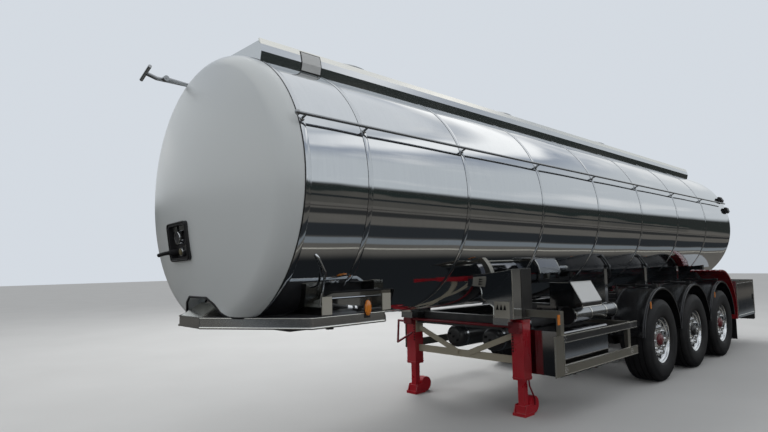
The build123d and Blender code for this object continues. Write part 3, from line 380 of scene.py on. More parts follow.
@dataclass(frozen=True)
class Lens:
    """Coloured lamp lens with fine flutes."""

    name: str
    colour: Colour

    def make(self) -> bpy.types.Material:
        """Glossy coloured plastic over a bright reflector."""
        s = Shade(self.name)
        flute = s.node("ShaderNodeTexWave", {"bands_direction": "X"}, {"Vector": s.place(), "Scale": 42.0})
        base = s.mix(flute, tuple(c * 0.6 for c in self.colour), self.colour)
        rough = s.noise(30.0) * 0.08 + 0.08
        return s.close({"Base Color": base, "Roughness": rough, "Coat Weight": 1.0, "Coat Roughness": 0.05,
                        "Normal": s.bump(flute, 0.4, 0.001)})


@dataclass(frozen=True)
class Deck:
    """Walkway sheet with dried dirt."""

    name: str

    def make(self) -> bpy.types.Material:
        """Aluminium sheet, dull, stained between its ribs."""
        s = Shade(self.name)
        dirt = s.noise(4.0, detail=5.0).span(0.35, 0.75)
        grip = s.node("ShaderNodeTexVoronoi", {}, {"Vector": s.place(), "Scale": 60.0})
        base = s.mix(dirt * 0.5, (0.46, 0.47, 0.48), (0.2, 0.19, 0.17))
        return s.close({"Base Color": base, "Metallic": 1 - dirt * 0.6, "Roughness": dirt * 0.3 + 0.36,
                        "Normal": s.bump(grip, 0.4, 0.001)})


class Finish(Enum):
    """The finishes of this trailer, each made once and shared."""

    BARREL = Steel("barrel_steel", (0.6, 0.62, 0.64), 0.045, 0.015, (10.0, 0.8, 0.8), 0.0012, 0.1)
    BAND = Steel("band_steel", (0.56, 0.58, 0.6), 0.07, 0.02, grime=0.08)
    SHEET = Steel("folded_sheet", (0.58, 0.6, 0.62), 0.12, 0.04, (1.0, 8.0, 8.0), 0.0008, 0.15)
    # Paler, warmer copy of the sheet steel: a painted highlight for the lips, flanges, beads and edges that
    # catch the light.
    HIGHLIGHT_STEEL = Steel("painted_highlight_steel", (0.78, 0.77, 0.72), 0.22, 0.08, (1.0, 8.0, 8.0), 0.0, 0.1)
    FITTING = Steel("bright_fitting", (0.66, 0.67, 0.68), 0.16, 0.04, (2.0, 5.0, 5.0), 0.0, 0.12)
    RAIL = Steel("rail_tube", (0.34, 0.35, 0.36), 0.2, 0.05, (2.0, 5.0, 5.0), 0.0, 0.1)
    CABINET = Steel("cabinet_steel", (0.34, 0.34, 0.35), 0.09, 0.04, (2.0, 2.0, 8.0), 0.0016, 0.15)
    RIM = Steel("wheel_alloy", (0.84, 0.85, 0.86), 0.2, 0.05, (3.0, 3.0, 3.0), 0.0, 0.22)
    NUT = Steel("nut_steel", (0.88, 0.88, 0.88), 0.25, 0.05, (3.0, 3.0, 3.0), 0.0, 0.1)
    GUARD = Steel("guard_rail_alloy", (0.42, 0.4, 0.35), 0.34, 0.08, (3.0, 14.0, 14.0), 0.0, 0.3)
    COVER = Moulding("front_moulding", (0.65, 0.68, 0.675), 1.15, 1.7)
    SADDLE = Steel("saddle_steel", (0.36, 0.35, 0.32), 0.16, 0.05, (2.0, 2.0, 6.0), 0.001, 0.15)
    PALE = Paint("pale_sheet", (0.42, 0.4, 0.34), (0.2, 0.18, 0.15), 0.42, 0.1, 0.15)
    RED = Paint("chassis_red", (0.46, 0.01, 0.022), (0.16, 0.02, 0.02), 0.28, 0.5, 0.08)
    WING_RED = Paint("wing_red", (0.26, 0.006, 0.012), (0.12, 0.02, 0.02), 0.16, 0.8, 0.05)
    DARK_RED = Paint("dark_red", (0.2, 0.006, 0.014), (0.08, 0.02, 0.02), 0.35, 0.3, 0.12)
    CAP_RED = Paint("cap_red", (0.12, 0.008, 0.012), (0.06, 0.02, 0.02), 0.3, 0.4, 0.05)
    GREY = Paint("bracket_grey", (0.43, 0.385, 0.285), (0.15, 0.12, 0.1), 0.45, 0.1, 0.2)
    BLACK = Paint("black_paint", (0.01, 0.01, 0.011), (0.06, 0.06, 0.06), 0.35, 0.3, 0.05, 0.02)
    AXLE = Paint("axle_paint", (0.016, 0.014, 0.014), (0.08, 0.04, 0.03), 0.6, 0.0, 0.14)
    # Near-black chassis paint: painted shade for the rails, hangers, air tanks and bumper under the tank.
    DARK = Paint("chassis_painted_shade", (0.04, 0.042, 0.045), (0.09, 0.08, 0.07), 0.32, 0.3, 0.12)
    WHITE = Paint("lid_white", (0.6, 0.61, 0.6), (0.35, 0.33, 0.3), dust=0.08)
    TYRE = Rubber("tyre_rubber", (0.011, 0.011, 0.012), 0.1)
    GUARD_BLACK = Rubber("mudguard_plastic", (0.006, 0.006, 0.007), 0.03, 0.22, (0.08, 0.08, 0.08), 40.0, 0.5)
    # Lighter, glossier copy of the mudguard plastic: the lighter colour is a painted highlight on the lips.
    GUARD_LIP_SHEEN = Rubber("mudguard_lip", (0.035, 0.036, 0.04), 0.03, 0.14, (0.15, 0.15, 0.15), 40.0, 0.7)
    SEAL = Rubber("seal_rubber", (0.007, 0.007, 0.008), 0.05, 0.42)
    BOX = Rubber("box_plastic", (0.02, 0.02, 0.022), 0.15, 0.45)
    OLIVE = Rubber("socket_cover", (0.11, 0.095, 0.05), 0.15, 0.45, (0.2, 0.19, 0.14))
    AMBER = Lens("amber_lens", (0.85, 0.26, 0.02))
    RED_LENS = Lens("red_lens", (0.5, 0.012, 0.012))
    CLEAR = Lens("clear_lens", (0.8, 0.82, 0.84))
    DECK = Deck("walkway_sheet")

    def material(self) -> bpy.types.Material:
        """This finish's material, made on first use."""
        found = bpy.data.materials.get(self.value.name)
        return found or self.value.make()


SLOTS = {
    "tank_steel": (Finish.BARREL, Finish.BAND),
    "coffer_steel": (Finish.SHEET, Finish.HIGHLIGHT_STEEL, Finish.SADDLE),
    "polished_steel": (Finish.FITTING, Finish.RAIL, Finish.CABINET),
    "rim": (Finish.RIM, Finish.NUT),
    "guard_metal": (Finish.GUARD,),
    "white_cover": (Finish.COVER,),
    "white_paint": (Finish.WHITE,),
    "grey_paint": (Finish.PALE, Finish.GREY),
    "red_paint": (Finish.RED, Finish.WING_RED, Finish.DARK_RED, Finish.CAP_RED),
    "black_steel": (Finish.BLACK,),
    "dark_axle": (Finish.AXLE,),
    "dark_steel": (Finish.DARK,),
    "tyre": (Finish.TYRE,),
    "black_rubber": (Finish.SEAL,),
    "dark_plastic": (Finish.GUARD_BLACK, Finish.GUARD_LIP_SHEEN, Finish.BOX, Finish.OLIVE, Finish.AMBER,
                     Finish.RED_LENS, Finish.CLEAR),
    "deck": (Finish.DECK,),
}
SLOT_OF = {finish: slot for slot, finishes in SLOTS.items() for finish in finishes}


# Mesh forms


class Form:
    """A mesh in the making, in the row frame; land() turns it into a finished piece."""

    def __init__(self) -> None:
        """Start empty."""
        self.mesh = bmesh.new()

    def _frame(self, origin: Point, z_axis: Vector, x_hint: Vector | None = None) -> Matrix:
        """Frame with its Z along an axis.

        Args:
            origin: Where the frame is.
            z_axis: Direction of its Z.
            x_hint: Direction near its X, where that matters.

        Returns:
            The frame's matrix.
        """
        z = z_axis.normalized()
        hint = x_hint or (Vector((1, 0, 0)) if abs(z.x) < 0.9 else Vector((0, 1, 0)))
        x = (hint - z * hint.dot(z)).normalized()
        y = z.cross(x)
        return Matrix.Translation(origin) @ Matrix((x, y, z)).transposed().to_4x4()

    def block(self, low: Point, high: Point, bevel: float = 0.0) -> "Form":
        """Box between two corners, its edges rounded by bevel."""
        size = [abs(b - a) for a, b in zip(low, high)]
        middle = [(a + b) / 2 for a, b in zip(low, high)]
        return self.slab(middle, size, Matrix.Identity(3), bevel)

    def slab(self, middle: Point, size: Sequence[float], turn: Matrix, bevel: float = 0.0) -> "Form":
        """Box turned about its middle.

        Args:
            middle: The box's middle.
            size: Its three lengths before the turn.
            turn: Rotation matrix.
            bevel: Rounding of its edges.

        Returns:
            This form.
        """
        place = Matrix.Translation(middle) @ turn.to_4x4() @ Matrix.Diagonal((*size, 1))
        made = bmesh.ops.create_cube(self.mesh, size=1.0, matrix=place)
        if bevel:
            edges = list({e for v in made["verts"] for e in v.link_edges})
            bmesh.ops.bevel(self.mesh, geom=edges, offset=bevel, segments=2, affect="EDGES")
        return self

    def lathe(self, profile: Sequence[tuple[float, float]], origin: Point, axis: Point, steps: int = 48,
              sweep: float = tau, start: float = 0.0, hint: Point | None = None) -> "Form":
        """Turn a profile of (distance along, radius) points about an axis.

        Args:
            profile: Points from one end to the other.
            origin: Where the distance along is 0.
            axis: Direction of the axis.
            steps: Segments round the whole sweep.
            sweep: Angle turned through.
            start: Angle of the first section from the hint.
            hint: Direction of angle 0, where it matters.

        Returns:
            This form.
        """
        place = self._frame(origin, Vector(axis), Vector(hint) if hint else None)
        closed = abs(sweep - tau) < 1e-6
        rings = []
        for along, radius in profile:
            if radius < 1e-6:
                rings.append([self.mesh.verts.new(place @ Vector((0, 0, along)))])
                continue
            count = steps if closed else steps + 1
            turns = [start + sweep * i / steps for i in range(count)]
            rings.append([self.mesh.verts.new(place @ Vector((radius * cos(turn), radius * sin(turn), along)))
                          for turn in turns])
        for low, high in zip(rings, rings[1:]):
            for i in range(steps):
                j = (i + 1) % len(low) if len(low) > 1 else 0
                k = (i + 1) % len(high) if len(high) > 1 else 0
                corners = [low[i % len(low)], low[j], high[k], high[i % len(high)]]
                unique = list(dict.fromkeys(corners))
                if len(unique) > 2:
                    self.mesh.faces.new(unique)
        return self

    def blocks(self, low: Point, high: Point, bevel: float = 0.0) -> "Form":
        """The same box on both sides of the trailer."""
        for side in SIDES.values():
            self.block((low[0], side * low[1], low[2]), (high[0], side * high[1], high[2]), bevel)
        return self

    def tubes(self, path: Sequence[Point], radius: float, steps: int = 8) -> "Form":
        """The same tube on both sides of the trailer."""
        for side in SIDES.values():
            self.tube([(x, side * y, z) for x, y, z in path], radius, steps)
        return self

    def tube(self, path: Sequence[Point], radius: float, steps: int) -> "Form":
        """Round closed tube along a path, mitred at its corners.

        Args:
            path: Points of its centre line.
            radius: The tube's radius.
            steps: Sides of its section.

        Returns:
            This form.
        """
        points = [Vector(p) for p in path]
        rings = []
        normal = None
        for i, point in enumerate(points):
            before = (point - points[i - 1]).normalized() if i else None
            after = (points[i + 1] - point).normalized() if i + 1 < len(points) else None
            way = ((before or after) + (after or before)).normalized()
            if normal is None:
                normal = way.orthogonal().normalized()
            normal = (normal - way * normal.dot(way)).normalized()
            side = way.cross(normal)
            reach = radius / max(0.5, way.dot(after or before)) if before and after else radius
            turns = [tau * j / steps for j in range(steps)]
            rings.append([self.mesh.verts.new(point + (normal * cos(turn) + side * sin(turn)) * reach)
                          for turn in turns])
        for low, high in zip(rings, rings[1:]):
            for j in range(steps):
                k = (j + 1) % steps
                self.mesh.faces.new((low[j], low[k], high[k], high[j]))
        self.mesh.faces.new(list(reversed(rings[0])))
        self.mesh.faces.new(rings[-1])
        return self

    def plate(self, outline: Sequence[Point], depth: Point) -> "Form":
        """Flat outline pushed through a depth.

        Args:
            outline: Corners of the outline, in order.
            depth: Way and distance of the push.

        Returns:
            This form.
        """
        near = [self.mesh.verts.new(p) for p in outline]
        far = [self.mesh.verts.new(Vector(p) + Vector(depth)) for p in outline]
        self.mesh.faces.new(near)
        self.mesh.faces.new(list(reversed(far)))
        for i in range(len(near)):
            j = (i + 1) % len(near)
            self.mesh.faces.new((near[i], far[i], far[j], near[j]))
        return self

    def land(self, name: str, finish: Finish, body: str = "trailer", smooth: float = 40.0,
             replaces: Iterable[str] = ()) -> bpy.types.Object:
        """End the mesh as a piece that rides on a body.

        Args:
            name: The piece's name.
            finish: Its material.
            body: The CAD body that carries it.
            smooth: Largest angle, in degrees, that is shaded smooth.
            replaces: CAD nodes that it stands for.

        Returns:
            The new object.
        """
        bmesh.ops.remove_doubles(self.mesh, verts=self.mesh.verts, dist=1e-5)
        bmesh.ops.recalc_face_normals(self.mesh, faces=self.mesh.faces)
        for face in self.mesh.faces:
            face.smooth = True
        for edge in self.mesh.edges:
            edge.smooth = len(edge.link_faces) == 2 and edge.calc_face_angle(0.0) < radians(smooth)
        data = bpy.data.meshes.new(name)
        self.mesh.to_mesh(data)
        self.mesh.free()
        piece = bpy.data.objects.new(name, data)
        bpy.context.scene.collection.objects.link(piece)
        return settle(piece, finish, body, replaces)


def settle(piece: bpy.types.Object, finish: Finish, body: str,
           replaces: Iterable[str] = ()) -> bpy.types.Object:
    """Give a piece its finish, its body and the nodes it stands for.

    Args:
        piece: The piece, with its mesh in place.
        finish: Its material.
        body: The CAD body that carries it.
        replaces: CAD nodes that it stands for.

    Returns:
        The piece.
    """
    piece.data.materials.clear()
    piece.data.materials.append(finish.material())
    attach(piece, body)
    if tuple(replaces):
        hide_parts(*replaces)
    log.info("piece %s on %s, %d faces", piece.name, body, len(piece.data.polygons))
    return piece


# Repeated pieces grown by node trees


class Grove:
    """A Geometry Nodes tree with named inputs, run once and turned into a plain mesh."""

    def __init__(self, name: str) -> None:
        """Start a tree with one geometry output."""
        self.tree = bpy.data.node_groups.new(name, "GeometryNodeTree")
        self.tree.interface.new_socket("Geometry", in_out="OUTPUT", socket_type="NodeSocketGeometry")
        self.values: dict[str, object] = {}
        self.entry: bpy.types.Node | None = None

    def size(self, name: str, value: float | int | Point) -> None:
        """Declare a named input with its value.

        Args:
            name: The input's name.
            value: Its value, whose type gives the socket's.
        """
        kind = ("NodeSocketInt" if isinstance(value, int) else
                "NodeSocketFloat" if isinstance(value, float) else "NodeSocketVector")
        self.tree.interface.new_socket(name, in_out="INPUT", socket_type=kind)
        self.values[name] = value

    def input(self, name: str) -> bpy.types.NodeSocket:
        """The socket of a named input."""
        if self.entry is None:
            self.entry = self.tree.nodes.new("NodeGroupInput")
        return self.entry.outputs[name]

    def add(self, kind: str, settings: dict, inputs: dict) -> bpy.types.Node:
        """Add a node.

        Args:
            kind: The node's type name.
            settings: Properties that are set before its sockets are used.
            inputs: Value or socket for each input, by name.

        Returns:
            The node.
        """
        made = self.tree.nodes.new(kind)
        for key, value in settings.items():
            setattr(made, key, value)
        for key, value in inputs.items():
            if isinstance(value, bpy.types.NodeSocket):
                self.tree.links.new(value, made.inputs[key])
            else:
                made.inputs[key].default_value = value
        return made

    def grow(self, geometry: bpy.types.NodeSocket, name: str, finish: Finish, body: str,
             place: Matrix | None = None) -> bpy.types.Object:
        """Realize the instances, set the material, and land the result as a plain piece.

        Args:
            geometry: What the tree has made.
            name: The piece's name.
            finish: Its material.
            body: The body that carries it.
            place: Where the result goes in the row frame.

        Returns:
            The plain mesh object.
        """
        real = self.add("GeometryNodeRealizeInstances", {}, {"Geometry": geometry})
        dressed = self.add("GeometryNodeSetMaterial", {},
                           {"Geometry": real.outputs[0], "Material": finish.material()})
        out = self.tree.nodes.new("NodeGroupOutput")
        self.tree.links.new(dressed.outputs[0], out.inputs[0])
        seed = bpy.data.objects.new(name + "_seed", bpy.data.meshes.new(name + "_seed"))
        bpy.context.scene.collection.objects.link(seed)
        modifier = seed.modifiers.new("grow", "NODES")
        modifier.node_group = self.tree
        for item in self.tree.interface.items_tree:
            if item.item_type == "SOCKET" and item.in_out == "INPUT":
                modifier[item.identifier] = self.values[item.name]
        graph = bpy.context.evaluated_depsgraph_get()
        data = bpy.data.meshes.new_from_object(seed.evaluated_get(graph))
        bpy.data.objects.remove(seed)
        data.name = name
        if place is not None:
            data.transform(place)
        piece = bpy.data.objects.new(name, data)
        bpy.context.scene.collection.objects.link(piece)
        return settle(piece, finish, body)


def ring_of(name: str, count: int, ring: float, head: Flat, sides: int, place: Matrix, finish: Finish,
            body: str = "trailer") -> bpy.types.Object:
    """Short cylinders, such as nuts, spaced round a circle in the local XY plane.

    Args:
        name: The piece's name.
        count: How many there are, at least three.
        ring: Radius of the circle.
        head: Radius and height of each.
        sides: Sides of each.
        place: Where the circle's middle goes.
        finish: The material.
        body: The CAD body that carries them.

    Returns:
        The piece.
    """
    grove = Grove(name + "_tree")
    for key, value in {"Count": count, "Ring Radius": ring, "Head Radius": head[0], "Head Height": head[1],
                       "Sides": sides}.items():
        grove.size(key, value)
    circle = grove.add("GeometryNodeMeshCircle", {},
                       {"Vertices": grove.input("Count"), "Radius": grove.input("Ring Radius")})
    nut = grove.add("GeometryNodeMeshCylinder", {},
                    {"Vertices": grove.input("Sides"), "Radius": grove.input("Head Radius"),
                     "Depth": grove.input("Head Height")})
    spread = grove.add("GeometryNodeInstanceOnPoints", {},
                       {"Points": circle.outputs[0], "Instance": nut.outputs["Mesh"]})
    return grove.grow(spread.outputs[0], name, finish, body, place)


def row_of(name: str, count: int, start: Point, step: Point, size: Point, finish: Finish,
           body: str = "trailer") -> bpy.types.Object:
    """Blocks, such as ribs, at equal steps along a line.

    Args:
        name: The piece's name.
        count: How many there are.
        start: Middle of the first.
        step: From one to the next.
        size: Lengths of each.
        finish: The material.
        body: The CAD body that carries them.

    Returns:
        The piece.
    """
    grove = Grove(name + "_tree")
    for key, value in {"Count": count, "Start": start, "Step": step, "Block": size}.items():
        grove.size(key, value)
    line = grove.add("GeometryNodeMeshLine", {},
                     {"Count": grove.input("Count"), "Start Location": grove.input("Start"),
                      "Offset": grove.input("Step")})
    cube = grove.add("GeometryNodeMeshCube", {}, {"Size": grove.input("Block")})
    spread = grove.add("GeometryNodeInstanceOnPoints", {},
                       {"Points": line.outputs[0], "Instance": cube.outputs["Mesh"]})
    return grove.grow(spread.outputs[0], name, finish, body)


# Shapes shared by the sub-assemblies


def crown_radius(radius: float, depth: float, knuckle: float) -> float:
    """Radius of the crown of a dished end."""
    return ((radius - knuckle) ** 2 + depth**2 - knuckle**2) / (2 * (depth - knuckle))


def dish(edge: float, way: int, radius: float, depth: float, knuckle: float, steps: int = 14) -> list[Flat]:
    """Profile of a dished end from its rim to its apex.

    Args:
        edge: X of the rim.
        way: 1 for an end that faces forward, -1 for one that faces back.
        radius: Radius of the rim.
        depth: From the rim's plane to the apex.
        knuckle: Radius of the turn behind the rim.
        steps: Segments of the knuckle, and half of the crown's.

    Returns:
        Points of (x, radius).
    """
    crown = crown_radius(radius, depth, knuckle)
    centre = edge + way * (depth - crown)
    turn = atan2(radius - knuckle, crown - depth)
    arc = [(edge + way * knuckle * sin(a), radius - knuckle + knuckle * cos(a))
           for a in ((pi / 2 - turn) * i / steps for i in range(steps))]
    cap = [(centre + way * crown * cos(a), crown * sin(a))
           for a in (turn * (1 - i / (2 * steps)) for i in range(2 * steps + 1))]
    return arc + cap


def rounded(points: Sequence[Sequence[float]], radius: float, steps: int = 5) -> list[tuple[float, ...]]:
    """Open line through points, its inner corners rounded.

    Args:
        points: The line's points, in two or three dimensions.
        radius: Radius of each corner, where its runs leave room for it.
        steps: Segments of each corner.

    Returns:
        The rounded line's points.
    """
    line = [tuple(points[0])]
    for before, corner, after in zip(points, points[1:], points[2:]):
        middle = Vector(corner)
        way_in, way_out = Vector(before) - middle, Vector(after) - middle
        cut = min(radius / tan(way_in.angle(way_out) / 2), 0.49 * way_in.length, 0.49 * way_out.length)
        start, end = middle + way_in.normalized() * cut, middle + way_out.normalized() * cut
        for i in range(steps + 1):
            t = i / steps
            line.append(tuple(start * (1 - t) ** 2 + middle * 2 * t * (1 - t) + end * t * t))
    line.append(tuple(points[-1]))
    return line


def carved(base: Form, cuts: Sequence[Form], adds: Sequence[Form] = ()) -> Form:
    """Cut forms out of a closed form and join others to it.

    Args:
        base: The closed form.
        cuts: Closed forms to take away.
        adds: Closed forms to join.

    Returns:
        A new form with the result.
    """
    objects = bpy.context.scene.collection.objects
    made = []
    for form in (base, *cuts, *adds):
        bmesh.ops.remove_doubles(form.mesh, verts=form.mesh.verts, dist=1e-6)
        bmesh.ops.recalc_face_normals(form.mesh, faces=form.mesh.faces)
        data = bpy.data.meshes.new("carving")
        form.mesh.to_mesh(data)
        form.mesh.free()
        made.append(bpy.data.objects.new("carving", data))
        objects.link(made[-1])
    for number, tool in enumerate(made[1:]):
        modifier = made[0].modifiers.new("carve", "BOOLEAN")
        modifier.operation = "DIFFERENCE" if number < len(cuts) else "UNION"
        modifier.solver = "EXACT"
        modifier.object = tool
    graph = bpy.context.evaluated_depsgraph_get()
    data = bpy.data.meshes.new_from_object(made[0].evaluated_get(graph))
    for item in made:
        bpy.data.objects.remove(item)
    result = Form()
    result.mesh.from_mesh(data)
    return result


@dataclass
class Barrel:
    """Polished cladding with its ring bands, the recess over the coupling frame, and the seals."""

    radius: float = TANK_RADIUS
    front: float = BAND_X + 0.03
    rear: float = BAND_X - 9.65
    rear_dish: Flat = (0.3, 0.15)
    swell: float = 0.0028
    swell_steps: int = 8
    steps: int = 192
    band_steps: int = 144
    vessel_front: Point = (0.985, 0.18, 0.12)
    vessel_radius: float = 0.94
    flat_drop: float = 0.95
    recess: Line = ((0.2, 0.95), (0.47, 0.79), (1.12, 0.79), (1.3, 0.95))
    corner: float = 0.06
    cut_front: float = -0.4
    cut_drop: float = 1.2
    cut_half: float = 1.3
    band: Line = ((-0.023, -0.003), (-0.021, 0.00252), (-0.018, 0.0036), (0.018, 0.0036), (0.021, 0.00252),
                  (0.023, -0.003))
    joint: Line = ((0.023, 0.0), (0.0235, 0.0016), (0.0265, 0.0016), (0.027, 0.0))
    seal: float = 0.0085
    seal_lift: float = 0.002
    seal_start: float = -0.03
    foot_rise: float = 0.425
    foot_axis: float = 1.115
    foot_lift: float = 0.004
    foot: Line = ((-0.004, 0.0), (-0.004, 0.02), (0.006, 0.02), (0.012, 0.013), (0.012, 0.0))
    drain: Path = ((0.15, 0.905, -0.5), (0.16, 0.94, -0.53), (0.27, 0.88, -0.64),
                   (0.33, 0.76, -0.79), (0.32, 0.74, -0.945))
    drain_bend: float = 0.09
    drain_radius: float = 0.01

    def sheet_profile(self) -> list[Flat]:
        """Radius from the front dish along the barrel: each sheet swells a little between its bands.

        Returns:
            Points of (x, radius) from the front to the rear.
        """
        stops = [self.front, *map(back, BAND_BACKS[1:]), self.rear]
        points = list(reversed(dish(self.front, 1, *self.vessel_front)))
        for near, far in zip(stops, stops[1:]):
            for i in range(self.swell_steps):
                t = i / self.swell_steps
                points.append((near + (far - near) * t, self.radius + self.swell * sin(pi * t)))
        return points + dish(self.rear, -1, self.radius, *self.rear_dish)

    def recess_line(self) -> list[Flat]:
        """Side outline of the recess from the front to its rear end, as (back, drop) points."""
        ends = (self.cut_front, self.flat_drop), (self.recess[-1][0], self.cut_drop)
        return rounded([ends[0], *self.recess, ends[1]], self.corner)

    def skin(self) -> None:
        """Barrel and dishes in one, cut open over the coupling frame to show the inner vessel."""
        shell = Form().lathe(self.sheet_profile(), AXIS, FORWARD, self.steps)
        outline = [(distance, -self.cut_half, -drop) for distance, drop in self.recess_line()]
        outline.append((self.cut_front, -self.cut_half, -self.cut_drop))
        notch = Form().plate(placed(outline), (0, 2 * self.cut_half, 0))
        start = back(self.recess[-1][0] + self.corner)
        length = self.recess[-1][0] - self.recess[0][0] + 2 * self.corner
        vessel = Form().lathe([(0, 0), (0, self.vessel_radius), (length, self.vessel_radius), (length, 0)],
                              (start, 0, TANK_AXIS_Z), FORWARD, self.steps // 2)
        carved(shell, [notch], [vessel]).land("tank_cladding", Finish.BARREL, smooth=38,
                                              replaces=["tank_shell"])

    def hoops(self, section: Line, distances: Sequence[float]) -> Form:
        """Rings of one section round the barrel, open where the recess is.

        Args:
            section: Points of (along, lift) over the barrel.
            distances: How far behind the first band each ring is.

        Returns:
            The form with every ring.
        """
        form = Form()
        for distance in distances:
            ring = [(back(distance) + along, self.radius + lift) for along, lift in section]
            form.lathe(ring, AXIS, FORWARD, self.band_steps)
        low = [v for v in form.mesh.verts if back(self.recess[-1][0]) < v.co.x < back(self.recess[0][0])
               and v.co.z < up(-self.recess[1][1])]
        bmesh.ops.delete(form.mesh, geom=low, context="VERTS")
        return form

    def bands(self) -> None:
        """Ring straps with rounded edges, and the dark joint behind each."""
        straps = self.hoops(self.band, BAND_BACKS)
        for vert in straps.mesh.verts:
            if vert.co.x > back(self.recess[0][0]):
                vert.co.z = max(vert.co.z, up(-self.flat_drop))
        straps.land("ring_bands", Finish.BAND, smooth=70)
        self.hoops(self.joint, BAND_BACKS[1:]).land("sheet_joints", Finish.SEAL)

    def seals(self) -> None:
        """Black edging along the cladding's lower edge and the recess, on both sides."""
        path = []
        for distance, drop in self.recess_line()[:-1]:
            ahead = distance < self.seal_start
            reach = self.radius + (0.0 if ahead else self.seal_lift)
            path.append((self.front if ahead else back(distance), sqrt(reach**2 - drop**2), up(-drop)))
        Form().tubes(path, self.seal).land("recess_seals", Finish.SEAL, smooth=60)

    def rail_feet(self) -> None:
        """Small round foot of each side rail bracket on its ring band."""
        reach, form = self.radius + self.foot_lift, Form()
        for side in SIDES.values():
            way = Vector((0, side * sqrt(self.foot_axis**2 - self.foot_rise**2), self.foot_rise)).normalized()
            for distance in BAND_BACKS:
                place = (back(distance), way.y * reach, TANK_AXIS_Z + way.z * reach)
                form.lathe(self.foot, place, way, steps=16)
        form.land("rail_feet", Finish.BAND)

    def drains(self) -> None:
        """Drain pipe on each side from the cladding down to the coupling frame."""
        for name, side in SIDES.items():
            Form().tube(rounded(placed(self.drain, side), self.drain_bend), self.drain_radius, steps=10).land(
                f"drain_pipe_{name}", Finish.FITTING, smooth=60)

    def build(self) -> None:
        """Make every piece of the barrel."""
        self.skin()
        self.bands()
        self.seals()
        self.rail_feet()
        self.drains()


